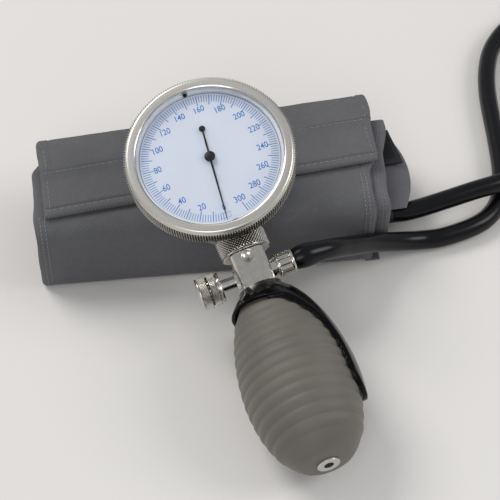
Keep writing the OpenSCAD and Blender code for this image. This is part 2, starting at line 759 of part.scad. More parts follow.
module bulb_spigot() {
  elbow_r = spigot_r - 0.4;
  color("#c4c3bf") difference() {
    union() {
      on_axis() disc(spigot_r, spigot_start, body_l);
      on_axis() disc(elbow_r, body_l - 0.2, body_l + 1.9);
      on_bulb() disc(spigot_r, body_l + 1.3, spigot_flange_s + 0.1);
      on_bulb() disc(spigot_r + 1.6, spigot_flange_s, spigot_flange_s + spigot_flange_t);
      on_bulb() disc(elbow_r, spigot_flange_s + 0.2, spigot_end);
      for (s = [neck_start + 2, neck_start + 5]) on_bulb() translate([0, 0, s])
        cylinder(r1 = spigot_r, r2 = elbow_r - 0.1, h = 1.6);
    }
    on_axis() disc(1.2, spigot_start - 1, body_l + 2.4);
    on_bulb() disc(1.3, body_l + 1.4, spigot_end + 1);
    on_bulb() disc(chamber_r, body_l + 2.2, outlet_seat_s);
  }
}

module outlet_disc() {
  color("#3a3a3c") on_bulb() disc(disc_r, outlet_seat_s - disc_t - 0.02, outlet_seat_s - 0.02);
}

// A check valve's cage, whose top is where the lifted disc stops
module check_cage(top) {
  color("#d8d8d4") on_bulb() difference() {
    disc(chamber_r - seat_gap, top - 1.4, top);
    disc(0.6, top - 3, top + 1);
    for (a = [0:90:270]) rotate([0, 0, a]) translate([1.5, 0, top - 3]) cylinder(r = 0.45, h = 5, $fn = 16);
  }
}

module outlet_cage() {
  check_cage(outlet_seat_s - disc_t - check_lift - 0.1);
}

module squeeze_bulb() {
  step = rib_pitch / 4;
  last_s = bulb_end_s - 1.4;
  last = floor((last_s - neck_start) / step) - 1;
  out = [for (i = [0:last]) let (s = neck_start + i * step) [bulb_out(s), s]];
  in_first = neck_start + 10;
  in_last = bulb_end_s - 8;
  inner = [for (s = [in_last:-2:in_first]) [bulb_shape(s) - bulb_wall, s]];
  end_r = bulb_out(last_s);
  color("#6f6c63") difference() {
    on_bulb() rotate_extrude() polygon(concat(
      [[spigot_r + seat_gap, neck_start]], out,
      [[end_r, last_s], [end_r - 1.6, last_s + 0.8], [end_r - 4, bulb_end_s - 0.1], [end_plate_r, bulb_end_s],
        [3.4 + seat_gap, bulb_end_s], [3.4 + seat_gap, in_last + 1]],
      inner, [[spigot_r + seat_gap, in_first - 1]]
    ));
    translate([-200, -400, -50]) cube([400, 400, 50]);
  }
}

// Spoon guard: a short ring round the bulb's neck whose right side runs on down the bulb as a spoon
module spoon_guard() {
  top_r = body_w / 2 * 1.22 + 0.2;
  ring_low = neck_start + 1;
  shell_end = guard_tip_s + 1;
  count = 26;
  step = (shell_end - ring_low) / count;
  inside = [for (i = [0:count]) let (s = ring_low + i * step) [guard_in(s), s]];
  outside = [for (i = [count:-1:0]) let (s = ring_low + i * step) [guard_in(s) + guard_t, s]];
  module shell() {
    rotate_extrude() polygon(concat(
      [[spigot_r + seat_gap, body_l - 3], [spigot_r + seat_gap, spigot_flange_s - seat_gap],
        [spigot_r + 1.8, spigot_flange_s - seat_gap], [bulb_neck_r + 0.8, neck_start]],
      inside, outside, [[top_r + 0.3, body_l + 2], [top_r, body_l - 3]]
    ));
  }
  module outline() {
    tip = guard_tip_s - spoon_half_w;
    slot_w = 1.1;
    difference() {
      union() {
        translate([-40, 0]) square([80, guard_ring_s]);
        polygon([[-15.5, 0], [15.5, 0], [15.5, guard_ring_s], [14.4, guard_ring_s + 8],
          [11.7, guard_ring_s + 16], [spoon_half_w, guard_ring_s + 24], [spoon_half_w, tip],
          [-spoon_half_w, tip], [-spoon_half_w, guard_ring_s + 24], [-11.7, guard_ring_s + 16],
          [-14.4, guard_ring_s + 8], [-15.5, guard_ring_s]]);
        translate([0, tip]) circle(r = spoon_half_w);
      }
      for (i = [0:2]) translate([4.4, guard_ring_s + 12 + i * 8]) rotate([0, 0, -8]) {
        square([slot_w, 4], center = true);
        for (e = [-2, 2]) translate([0, e]) circle(r = slot_w / 2, $fn = 16);
      }
    }
  }
  color("#17181a") intersection() {
    below_body();
    on_bulb() union() {
      intersection() {
        shell();
        translate([0, 0, guard_ring_s]) rotate([0, -ring_slant, 0]) disc(60, -60, 0);
      }
      intersection() {
        shell();
        rotate([0, 0, guard_angle]) rotate([90, 0, 90]) linear_extrude(60) outline();
      }
    }
  }
}

module end_valve() {
  color("#d2d0c8") on_bulb() difference() {
    union() {
      disc(end_plate_r, bulb_end_s + seat_gap, bulb_end_s + 0.9);
      disc(3.4, bulb_end_s - 8.5, bulb_end_s + 0.1);
    }
    disc(1.1, bulb_end_s - 9, bulb_end_s + 2);
    disc(chamber_r, bulb_end_s - 9, inlet_seat_s);
  }
}

module intake_disc() {
  color("#3a3a3c") on_bulb() disc(disc_r, inlet_seat_s - disc_t - 0.02, inlet_seat_s - 0.02);
}

module intake_cage() {
  check_cage(inlet_seat_s - disc_t - check_lift - 0.1);
}

module dust_screen() {
  color("#8c8c88") on_bulb() disc(1.1 - seat_gap, bulb_end_s - 0.7, bulb_end_s - 0.3);
}

// Cuff pieces

// Points of a fold's middle line: layers are numbered from the table up, side is 1 at the far side
// and -1 at the user's side, and inset is how far the fold lies inside the package's outer face.
function layer_z(n) = n * pitch + fabric_t / 2;
function turn_points(from, to, side, inset) =
  let (
    z0 = layer_z(from),
    z1 = layer_z(to),
    up = sign(z1 - z0),
    face = half_depth - inset - fabric_t / 2,
    r = fold_corner - inset - fabric_t / 2,
    steps = 6
  )
  concat(
    [for (i = [0:steps]) let (a = 90 * i / steps) [side * (face - r + r * sin(a)), z0 + up * r * (1 - cos(a))]],
    [for (i = [0:steps]) let (a = 90 * i / steps) [side * (face - r + r * cos(a)), z1 - up * r * (1 - sin(a))]]
  );

// A strip of thickness t along a line of points
function normal_at(line, i) =
  let (
    a = line[max(0, i - 1)],
    b = line[min(len(line) - 1, i + 1)],
    d = b - a
  )
  [-d.y, d.x] / norm(d);
function strip(line, t) = concat(
  [for (i = [0:len(line) - 1]) line[i] + normal_at(line, i) * t / 2],
  [for (i = [len(line) - 1:-1:0]) line[i] - normal_at(line, i) * t / 2]
);

// How deep a piece between heights a and b may reach inside a fold whose corners have radius r
function reach_at(z, low, high, r) =
  let (dz = z < low ? low - z : z > high ? z - high : 0) sqrt(max(0, r * r - dz * dz));
function front_y(a, b) = -half_depth + fold_corner - min([for (z = [a, b])
  reach_at(z, fold_corner, package_h - fold_corner, fold_corner - fabric_t - soft_gap)]);
function far_y(a, b) = half_depth - fold_corner + min([for (z = [a, b])
  reach_at(z, fold_corner, package_h + pitch - fold_corner, fold_corner - fabric_t - soft_gap)]);
function inner_y(a, b) = half_depth - fold_corner + min([for (z = [a, b])
  reach_at(z, fold_corner, package_h - fold_corner, fold_corner - pitch - fabric_t - soft_gap)]);

module along_x(low, high) {
  translate([low, 0, 0]) rotate([90, 0, 90]) linear_extrude(high - low) children();
}

module cuff_wrap() {
  start_z = layer_z(layer_count - 1);
  line = concat(
    [[far_y(start_z - fabric_t / 2, start_z + fabric_t / 2), start_z]],
    turn_points(layer_count - 1, 0, -1, 0),
    turn_points(0, layer_count, 1, 0),
    [[seam_y - 8, layer_z(layer_count)]]
  );
  half = cuff_width / 2;
  color("#5d5e63") difference() {
    along_x(-half, half) polygon(strip(line, fabric_t));
    translate([0, 0, layer_z(layer_count) - pitch / 2]) linear_extrude(pitch) polygon([
      [-half - 1, skewed_y(-half - 1, seam_y)], [half + 1, skewed_y(half + 1, seam_y)],
      [half + 1, -half_depth], [-half - 1, -half_depth]]);
  }
}

module inner_fold() {
  top = layer_z(layer_count - 2);
  low = layer_z(1);
  half = fabric_t / 2;
  line = concat(
    [[-front_y(low - half, low + half), low]],
    turn_points(1, layer_count - 2, -1, pitch),
    [[-front_y(top - half, top + half), top]]
  );
  color("#585a5f") along_x(-cuff_width / 2 + 1, cuff_width / 2 + fold_overhang) polygon(strip(line, fabric_t));
}

module closing_flap() {
  low = flap_top - flap_t;
  back = seam_y - soft_gap;
  half = cuff_width / 2;
  front = hem_w + soft_gap;
  color("#606166") translate([0, 0, low]) linear_extrude(flap_t) polygon([
    [-half, skewed_y(-half, back)], [half, skewed_y(half, back)], [half, hem_y(half) + front],
    [-half, hem_y(-half) + front]
  ]);
}

module flap_hem() {
  low = flap_top - flap_t;
  half = cuff_width / 2;
  color("#5b5c61") translate([0, 0, low]) linear_extrude(flap_t) polygon([
    [-half, hem_y(-half)], [half, hem_y(half)], [half, hem_y(half) + hem_w], [-half, hem_y(-half) + hem_w]
  ]);
}

module bladder() {
  y_low = -inner_y(bladder_z, bladder_z + bladder_t);
  color("#2b2b2e") translate([-cuff_width / 2 + bladder_inset, y_low, bladder_z])
    cube([cuff_width - bladder_inset - neck_inset, -front_y(bladder_z, bladder_z + bladder_t) - y_low, bladder_t]);
}

module bladder_tube_neck() {
  color("#1b1b1d") translate([cuff_width / 2 - neck_inset, hose_end.y, hose_end.z])
    rotate([0, 90, 0]) cylinder(r = tube_neck_r, h = hose_end.x - cuff_width / 2 + neck_inset);
}

module folded_end() {
  low = bladder_z + bladder_t + soft_gap;
  y_low = -inner_y(low, low + end_t);
  depth = -front_y(low, low + end_t) - y_low;
  reach = cuff_width - end_inset + end_overhang;
  color("#616267") translate([-cuff_width / 2 + end_inset, y_low, low]) linear_extrude(end_t) intersection() {
    square([reach, depth]);
    union() {
      translate([reach - end_round_r, depth * 0.4]) circle(r = end_round_r, $fn = 96);
      square([reach - end_round_r, depth]);
    }
  }
}

module hook_strip() {
  low = bladder_z + bladder_t + 2 * soft_gap + end_t;
  color("#1e1f22") translate([cuff_width / 2 - hook_lead, 3.5, low])
    cube([hook_lead + end_overhang - 4, hook_w, hook_t]);
}

module loop_panel() {
  low = bladder_z + bladder_t + 3 * soft_gap + end_t + hook_t;
  top = layer_z(layer_count - 2) - fabric_t / 2 - soft_gap;
  y_low = -inner_y(low, top);
  color("#54555a") translate([-cuff_width / 2 + 4, y_low, low])
    cube([cuff_width + 2, -front_y(low, top) - y_low, top - low]);
}

module cuff_tab() {
  lay = 0.1;
  tab_t = 0.7;
  tab_l = 8;
  y_high = -half_depth + fold_corner - sqrt(pow(fold_corner + soft_gap, 2) - pow(fold_corner - lay - tab_t, 2));
  color("#d8d8da") translate([cuff_width / 2 - 1.5 - tab_w, y_high - tab_l, lay]) cube([tab_w, tab_l, tab_t]);
}

// Hose: the points of its middle line, chosen by hand, from the connector nut round to the cuff
hose_r = hose_d / 2;
hose_start = [hand_x, hand_y, hand_z] + hand_turned([body_w / 2 + port_flange + 0.1 + nut_l, -port_s, 0]);
hose_lead = hose_start + 5 * hand_turned([1, 0, 0]);
hose_route = concat([hose_start, hose_lead], [
  [39, -50.2, 31.2], [48.6, -44, 24.5], [61, -35.9, 15.4], [73.8, -30.4, 8], [84, -28.2, 4.6], [94, -27.6, 4.1],
  [108, -23.8, 4.1], [116.6, -18.4, 4.1], [122.9, -9.8, 4.1], [128, 5.6, 4.1], [131.4, 25.4, 4.1],
  [133.4, 40.4, 4.1], [135.8, 55.6, 4.1], [139.6, 70.2, 4.1], [145.3, 83.6, 4.1], [153.5, 94.5, 4.1],
  [162.2, 101.7, 4.1], [172.8, 105.6, 4.1], [184, 105.6, 4.1], [194.7, 101.7, 4.1], [203.3, 94.5, 4.1],
  [208.9, 84.7, 4.1], [210.9, 73.6, 4.1], [208.9, 62.5, 4.1], [203.3, 52.7, 4.1], [192.2, 42.2, 4.1],
  [178, 30.5, 4.3], [163, 17.5, 6], [150, 6, 9], [137, -3, 11.8], [122.4, -8.9, 12.8], [110, -11.8, 12.9],
  [98, -14.6, 12.6], [87, -16.6, 11.8]
], [hose_end + [6, 0, 0], hose_end]);

// A smooth curve through the points, with steps stretches from each to the next
function between(p, i, t) =
  let (
    a = p[max(0, i - 1)],
    b = p[i],
    c = p[i + 1],
    d = p[min(len(p) - 1, i + 2)]
  )
  0.5 * (2 * b + (c - a) * t + (2 * a - 5 * b + 4 * c - d) * t * t + (3 * b - a - 3 * c + d) * t * t * t);
function smooth(p, steps) = concat(
  [for (i = [0:len(p) - 2]) for (k = [0:steps - 1]) between(p, i, k / steps)], [p[len(p) - 1]]);
function unit(v) = v / norm(v);

// A tube of radius r and so many sides along a line that never runs upright
module tube(line, r, sides) {
  last = len(line) - 1;
  rings = [for (i = [0:last])
    let (
      along = unit(i == 0 ? hose_lead - hose_start : i == last ? [-1, 0, 0] : line[i + 1] - line[i - 1]),
      across = unit(cross([0, 0, 1], along)),
      up = cross(along, across)
    )
    for (k = [0:sides - 1]) line[i] + r * (cos(360 * k / sides) * across + sin(360 * k / sides) * up)];
  walls = [for (i = [0:last - 1]) for (k = [0:sides - 1])
    let (
      a = i * sides + k,
      b = i * sides + (k + 1) % sides
    )
    each [[a, a + sides, b], [b, a + sides, b + sides]]];
  ends = [for (k = [1:sides - 2]) each [[0, k, k + 1], [last * sides, last * sides + k + 1, last * sides + k]]];
  polyhedron(rings, concat(walls, ends));
}

module hose() {
  color("#151517") tube(smooth(hose_route, 2), hose_r, 12);
}

bezel_ring();
crystal();
dial_ring();
dial_plate();
dial_screws();
pointer();
pinion_arbor();
hairspring();
sector_gear();
rocker_shaft();
movement_top_plate();
movement_base_plate();
movement_pillars();
movement_screws();
capsule_top();
capsule_pan();
capsule_base();
gauge_stem();
stem_seal();
gauge_case();
collar_nut();
valve_body();
release_bush();
release_seal();
release_spindle();
release_knob();
hose_port();
connector_nut();
bulb_spigot();
outlet_disc();
outlet_cage();
spoon_guard();
squeeze_bulb();
end_valve();
intake_disc();
intake_cage();
dust_screen();
cuff_wrap();
closing_flap();
flap_hem();
inner_fold();
folded_end();
hook_strip();
loop_panel();
bladder();
bladder_tube_neck();
cuff_tab();
hose();
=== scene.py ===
"""Looks of an aneroid blood pressure gauge with its squeeze bulb, hose and folded arm cuff."""

import math

import bmesh
import bpy
import numpy as np
from mathutils import Matrix, Vector, noise


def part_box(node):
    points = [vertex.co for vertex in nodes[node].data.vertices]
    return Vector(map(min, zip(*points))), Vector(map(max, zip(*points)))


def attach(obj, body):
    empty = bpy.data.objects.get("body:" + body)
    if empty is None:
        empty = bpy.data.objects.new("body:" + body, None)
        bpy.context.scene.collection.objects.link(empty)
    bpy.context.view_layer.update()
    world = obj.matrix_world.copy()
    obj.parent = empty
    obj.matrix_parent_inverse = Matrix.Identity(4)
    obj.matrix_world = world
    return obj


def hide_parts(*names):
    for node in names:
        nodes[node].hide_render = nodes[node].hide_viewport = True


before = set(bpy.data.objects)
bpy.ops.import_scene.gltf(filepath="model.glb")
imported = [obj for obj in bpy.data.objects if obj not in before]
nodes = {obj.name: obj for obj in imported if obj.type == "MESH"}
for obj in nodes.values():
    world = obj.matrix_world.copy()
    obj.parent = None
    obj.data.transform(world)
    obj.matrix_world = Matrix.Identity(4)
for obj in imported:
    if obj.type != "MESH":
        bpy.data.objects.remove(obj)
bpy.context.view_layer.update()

# Frames of the part, in millimetres. Each is turned into metres when a mesh is placed.


def turned(x, y, z):
    return (Matrix.Rotation(math.radians(z), 4, "Z") @ Matrix.Rotation(math.radians(y), 4, "Y")
            @ Matrix.Rotation(math.radians(x), 4, "X"))


def moved(x, y, z):
    return Matrix.Translation((x, y, z))


BODY_L, PORT_S = 14.8, 8.8  # the valve body's length, and the place of its ports along it
BEND, SWING = 13.0, -1.8  # how the bulb hangs from the body, in degrees
TABLE = Matrix.Identity(4)
HAND = moved(7.4, -48.5103, 32.0687) @ turned(0, 0, 12.8) @ turned(19.8, 0, 0) @ turned(0, -11, 0)
GAUGE = HAND @ moved(0, 37.2, 18)
AXIS = HAND @ turned(90, 0, 0)
BULB = AXIS @ moved(0, 0, BODY_L) @ turned(-BEND, SWING, 0) @ moved(0, 0, -BODY_L)
RELEASE = AXIS @ moved(0, 0, PORT_S) @ turned(0, -90, 0)
PORT = AXIS @ moved(0, 0, PORT_S) @ turned(0, 90, 0)
MM = Matrix.Scale(0.001, 4)

# Camera


def set_camera():
    azimuth, height, reach = math.radians(-9.5), math.radians(48), 0.624
    target = Vector((0.01393, -0.01795, 0))
    level = math.cos(height)
    back = Vector((math.sin(azimuth) * level, -math.cos(azimuth) * level, math.sin(height)))
    eye = bpy.data.objects.new("camera", bpy.data.cameras.new("camera"))
    bpy.context.scene.collection.objects.link(eye)
    eye.location = target + back * reach
    eye.rotation_euler = back.to_track_quat("Z", "Y").to_euler()
    eye.data.lens, eye.data.sensor_width = 108, 36
    eye.data.clip_start, eye.data.clip_end = 0.05, 20
    bpy.context.scene.camera = eye


set_camera()

# Meshes


def piece(name, verts, faces, place=TABLE, sharp=35, uv=None):
    """A mesh object whose place is in its vertices, given in millimetres."""
    mesh = bpy.data.meshes.new(name)
    mesh.from_pydata([tuple(v) for v in verts], [], faces)
    if uv is not None:
        layer = mesh.uv_layers.new(name="UVMap")
        for loop in mesh.loops:
            layer.data[loop.index].uv = uv[loop.vertex_index]
    mesh.transform(MM @ place)
    return shown(name, mesh, sharp)


def shown(name, mesh, sharp=35):
    obj = bpy.data.objects.new(name, mesh)
    bpy.context.scene.collection.objects.link(obj)
    mesh.shade_smooth()
    if sharp < 180:
        mesh.set_sharp_from_angle(angle=math.radians(sharp))
    return obj


def outward(obj):
    """Turns a closed mesh's faces outwards."""
    work = bmesh.new()
    work.from_mesh(obj.data)
    bmesh.ops.remove_doubles(work, verts=work.verts, dist=1e-7)
    bmesh.ops.recalc_face_normals(work, faces=work.faces)
    work.to_mesh(obj.data)
    work.free()
    return obj


def eased(profile, radius, closed=True):
    """A profile whose corners are rounded to about the given radius."""
    steps = 3
    out = []
    count = len(profile)
    for i, p in enumerate(profile):
        p = Vector(p)
        if not closed and i in (0, count - 1):
            out.append(tuple(p))
            continue
        a, b = Vector(profile[i - 1]) - p, Vector(profile[(i + 1) % count]) - p
        r = min(radius, a.length * 0.45, b.length * 0.45)
        if p.x < 1e-6 or r < 1e-4:
            out.append(tuple(p))
            continue
        start, end = p + a.normalized() * r, p + b.normalized() * r
        for k in range(steps + 1):
            t = k / steps
            out.append(tuple(start * (1 - t) ** 2 + p * 2 * t * (1 - t) + end * t ** 2))
    return out


def lathe(name, profile, place, sides=160, sharp=40, closed=True):
    """Turns a profile of (radius, height) points round the Z axis of a frame. The UV map runs round
    the piece and along its profile, in metres."""
    verts, uv, rings, faces = [], [], [], []
    along = 0
    for i, (r, z) in enumerate(profile):
        along += math.dist(profile[i], profile[i - 1]) if i else 0
        if r < 1e-6:
            rings.append([len(verts)])
            verts.append((0, 0, z))
            uv.append((0, along * 0.001))
            continue
        rings.append(range(len(verts), len(verts) + sides))
        for k in range(sides):
            a = 2 * math.pi * k / sides
            verts.append((r * math.cos(a), r * math.sin(a), z))
            uv.append((a * r * 0.001, along * 0.001))
    pairs = list(zip(rings, rings[1:])) + ([(rings[-1], rings[0])] if closed else [])
    for low, high in pairs:
        if len(low) == 1 and len(high) == 1:
            continue
        for k in range(sides):
            n = (k + 1) % sides
            if len(low) == 1:
                faces.append((low[0], high[k], high[n]))
            elif len(high) == 1:
                faces.append((low[k], high[0], low[n]))
            else:
                faces.append((low[k], low[n], high[n], high[k]))
    return outward(piece(name, verts, faces, place, sharp, uv))


def moulded(node, name, grain, rounds):
    """A copy of a CAD node whose edges are rounded, as a cast or moulded piece's are."""
    mesh = nodes[node].data.copy()
    mesh.name = name
    mesh.transform(Matrix.Scale(1000, 4))
    obj = outward(shown(name, mesh, 180))
    skin = obj.modifiers.new("skin", "REMESH")
    skin.mode, skin.voxel_size, skin.adaptivity = "VOXEL", grain, 0
    soft = obj.modifiers.new("soft", "SMOOTH")
    soft.factor, soft.iterations = 0.5, rounds
    made = bpy.data.meshes.new_from_object(obj.evaluated_get(bpy.context.evaluated_depsgraph_get()))
    obj.modifiers.clear()
    obj.data = made
    made.transform(MM)
    made.shade_smooth()
    made.materials.clear()
    return obj


# Trees for what repeats


class Tree:
    """A Geometry Nodes tree whose inputs have names."""

    def __init__(self, name, **inputs):
        self.group = bpy.data.node_groups.new(name, "GeometryNodeTree")
        face = self.group.interface
        face.new_socket("Path", in_out="INPUT", socket_type="NodeSocketGeometry")
        for label, value in inputs.items():
            kind = "NodeSocketInt" if isinstance(value, int) else "NodeSocketFloat"
            face.new_socket(label, in_out="INPUT", socket_type=kind).default_value = value
        face.new_socket("Finish", in_out="INPUT", socket_type="NodeSocketMaterial")
        face.new_socket("Result", in_out="OUTPUT", socket_type="NodeSocketGeometry")
        self.given = self.group.nodes.new("NodeGroupInput")
        self.result = self.group.nodes.new("NodeGroupOutput")

    def set(self, socket, value):
        if isinstance(value, bpy.types.NodeSocket):
            self.group.links.new(value, socket)
        elif isinstance(value, str):
            self.group.links.new(self.given.outputs[value], socket)
        else:
            socket.default_value = value

    def add(self, kind, settings=None, **inputs):
        made = self.group.nodes.new(kind)
        for label, value in (settings or {}).items():
            setattr(made, label, value)
        for label, value in inputs.items():
            found = [s for s in made.inputs if s.name.replace(" ", "_") == label and s.enabled]
            self.set(found[0], value)
        return made

    def math(self, operation, a, b=0.0, c=0.0):
        made = self.group.nodes.new("ShaderNodeMath")
        made.operation = operation
        self.set(made.inputs[0], a)
        self.set(made.inputs[1], b)
        self.set(made.inputs[2], c)
        return made.outputs[0]

    def vector(self, x, y, z):
        return self.add("ShaderNodeCombineXYZ", X=x, Y=y, Z=z).outputs[0]

    def index(self):
        return self.add("GeometryNodeInputIndex").outputs[0]

    def row_of(self, index, length):
        """Which row a point is in, where a row has this many."""
        return self.math("FLOOR", self.math("DIVIDE", self.math("ADD", index, 0.5), length))

    def on_circle(self, turn, radius, height):
        return self.vector(self.math("MULTIPLY", self.math("COSINE", turn), radius),
                           self.math("MULTIPLY", self.math("SINE", turn), radius), height)

    def dots(self, count, at):
        """Points at the places that a field gives."""
        made = self.add("GeometryNodePoints", Count=count)
        return self.add("GeometryNodeSetPosition", Geometry=made.outputs[0], Position=at)

    def random(self, kind, low, high):
        made = self.add("FunctionNodeRandomValue", {"data_type": kind}, Seed="Seed", Min=low, Max=high)
        return next(s for s in made.outputs if s.enabled)

    def finish(self, points, shape, turn, scale):
        """Ends the tree with a copy of a shape on each point."""
        copies = self.add("GeometryNodeInstanceOnPoints", Points=points.outputs[0], Instance=shape.outputs[0],
                          Rotation=turn, Scale=scale)
        real = self.add("GeometryNodeRealizeInstances", Geometry=copies.outputs[0])
        last = self.add("GeometryNodeSetMaterial", Geometry=real.outputs[0], Material="Finish")
        self.group.links.new(last.outputs[0], self.result.inputs[0])
        return self.group


def ribs_tree():
    """Upright ribs side by side round a cylinder."""
    tree = Tree("ribs_round", Count=200, Radius=33.0, Low=-7.5, Height=3.0, Width=0.5, Depth=0.3)
    turn = tree.math("DIVIDE", tree.math("MULTIPLY", tree.index(), 2 * math.pi), "Count")
    middle = tree.math("MULTIPLY_ADD", "Height", 0.5, "Low")
    dots = tree.dots("Count", tree.on_circle(turn, "Radius", middle))
    bar = tree.add("GeometryNodeMeshCylinder", Vertices=6, Radius=1.0, Depth=1.0)
    return tree.finish(dots, bar, tree.vector(0.0, 0.0, turn), tree.vector("Depth", "Width", "Height"))


def knurl_tree():
    """Rows of small pyramids round a cylinder, each row half a step on from the last."""
    tree = Tree("diamond_knurl", Around=60, Rows=12, Radius=9.6, Low=-8.0, Step=0.5, Size=0.6, Depth=0.3)
    index = tree.index()
    row = tree.row_of(index, "Around")
    shift = tree.math("MULTIPLY", tree.math("MODULO", row, 2.0), 0.5)
    turn = tree.math("DIVIDE", tree.math("MULTIPLY", tree.math("ADD", index, shift), 2 * math.pi), "Around")
    height = tree.math("MULTIPLY_ADD", row, "Step", "Low")
    dots = tree.dots(tree.math("MULTIPLY", "Around", "Rows"), tree.on_circle(turn, "Radius", height))
    point = tree.add("GeometryNodeMeshCone", Vertices=4, Radius_Top=0.12, Radius_Bottom=1.0, Depth=1.0)
    return tree.finish(dots, point, tree.vector(0.0, math.pi / 2, turn), tree.vector("Size", "Size", "Depth"))


def ticks_tree():
    """Marks round a dial, every so many of them longer."""
    tree = Tree("dial_marks", Count=151, Every=5, First=6.0, Sweep=341.25, Outer=26.8, Short=1.9, Long=3.7,
                Width=0.14, Bold=0.18, Thick=0.02)
    index = tree.index()
    share = tree.math("DIVIDE", index, tree.math("SUBTRACT", "Count", 1.0))
    degrees = tree.math("MULTIPLY_ADD", share, "Sweep", "First")
    turn = tree.math("SUBTRACT", -math.pi / 2, tree.math("RADIANS", degrees))
    chosen = tree.math("LESS_THAN", tree.math("MODULO", tree.math("ADD", index, 0.01), "Every"), 0.5)
    length = tree.math("MULTIPLY_ADD", chosen, tree.math("SUBTRACT", "Long", "Short"), "Short")
    width = tree.math("MULTIPLY_ADD", chosen, tree.math("SUBTRACT", "Bold", "Width"), "Width")
    middle = tree.math("MULTIPLY_ADD", length, -0.5, "Outer")
    dots = tree.dots("Count", tree.on_circle(turn, middle, 0.0))
    bar = tree.add("GeometryNodeMeshCube", Size=(1.0, 1.0, 1.0))
    return tree.finish(dots, bar, tree.vector(0.0, 0.0, turn), tree.vector(length, width, "Thick"))


def stitches_tree():
    """Short thread stitches along a line, a little uneven."""
    tree = Tree("stitch_run", Spacing=2.6, Length=2.25, Thread=0.25, Uneven=0.12, Seed=3)
    line = tree.add("GeometryNodeMeshToCurve", Mesh="Path")
    even = tree.add("GeometryNodeResampleCurve", {"mode": "LENGTH"}, Curve=line.outputs[0], Length="Spacing")
    along = tree.add("GeometryNodeInputTangent").outputs[0]
    facing = tree.add("FunctionNodeAlignRotationToVector", {"axis": "Z"}, Vector=along)
    thread = tree.add("GeometryNodeMeshUVSphere", Segments=6, Rings=4, Radius=0.5)
    share = tree.random("FLOAT", tree.math("SUBTRACT", 1.0, "Uneven"), 1.0)
    size = tree.vector("Thread", "Thread", tree.math("MULTIPLY", "Length", share))
    return tree.finish(even, thread, facing.outputs[0], size)


def hooks_tree():
    """Small hooks in rows over a tape."""
    tree = Tree("hook_field", Across=18, Along=50, Pitch=0.95, Height=0.7, Thick=0.13, Lean=0.35, Spin=3.0,
                Seed=5)
    index = tree.index()
    row = tree.row_of(index, "Across")
    place = tree.math("SUBTRACT", index, tree.math("MULTIPLY", row, "Across"))
    at = tree.vector(tree.math("MULTIPLY", row, "Pitch"), tree.math("MULTIPLY", place, "Pitch"), 0.0)
    dots = tree.dots(tree.math("MULTIPLY", "Across", "Along"), at)
    hook = tree.add("GeometryNodeMeshCone", Vertices=5, Radius_Top=0.6, Radius_Bottom=1.0, Depth=1.0)
    back = tree.math("MULTIPLY", "Lean", -1.0)
    turn = tree.random("FLOAT_VECTOR", tree.vector(back, back, 0.0), tree.vector("Lean", "Lean", "Spin"))
    return tree.finish(dots, hook, turn, tree.vector("Thick", "Thick", "Height"))


def grown(name, group, finish, place=TABLE, path=None, sharp=30, **values):
    """The mesh that a tree makes, in a frame. A path is a line of points, in millimetres."""
    mesh = bpy.data.meshes.new(name)
    if path:
        mesh.from_pydata([tuple(p) for p in path], [(i, i + 1) for i in range(len(path) - 1)], [])
    obj = bpy.data.objects.new(name, mesh)
    bpy.context.scene.collection.objects.link(obj)
    modifier = obj.modifiers.new("grow", "NODES")
    modifier.node_group = group
    values["Finish"] = finish
    for socket in group.interface.items_tree:
        if socket.in_out == "INPUT" and socket.name in values:
            modifier[socket.identifier] = values[socket.name]
    made = bpy.data.meshes.new_from_object(obj.evaluated_get(bpy.context.evaluated_depsgraph_get()))
    obj.modifiers.clear()
    obj.data = made
    made.transform(MM @ place)
    made.shade_smooth()
    made.set_sharp_from_angle(angle=math.radians(sharp))
    return obj


RIBS, KNURL, TICKS, STITCHES, HOOKS = ribs_tree(), knurl_tree(), ticks_tree(), stitches_tree(), hooks_tree()

# Finishes


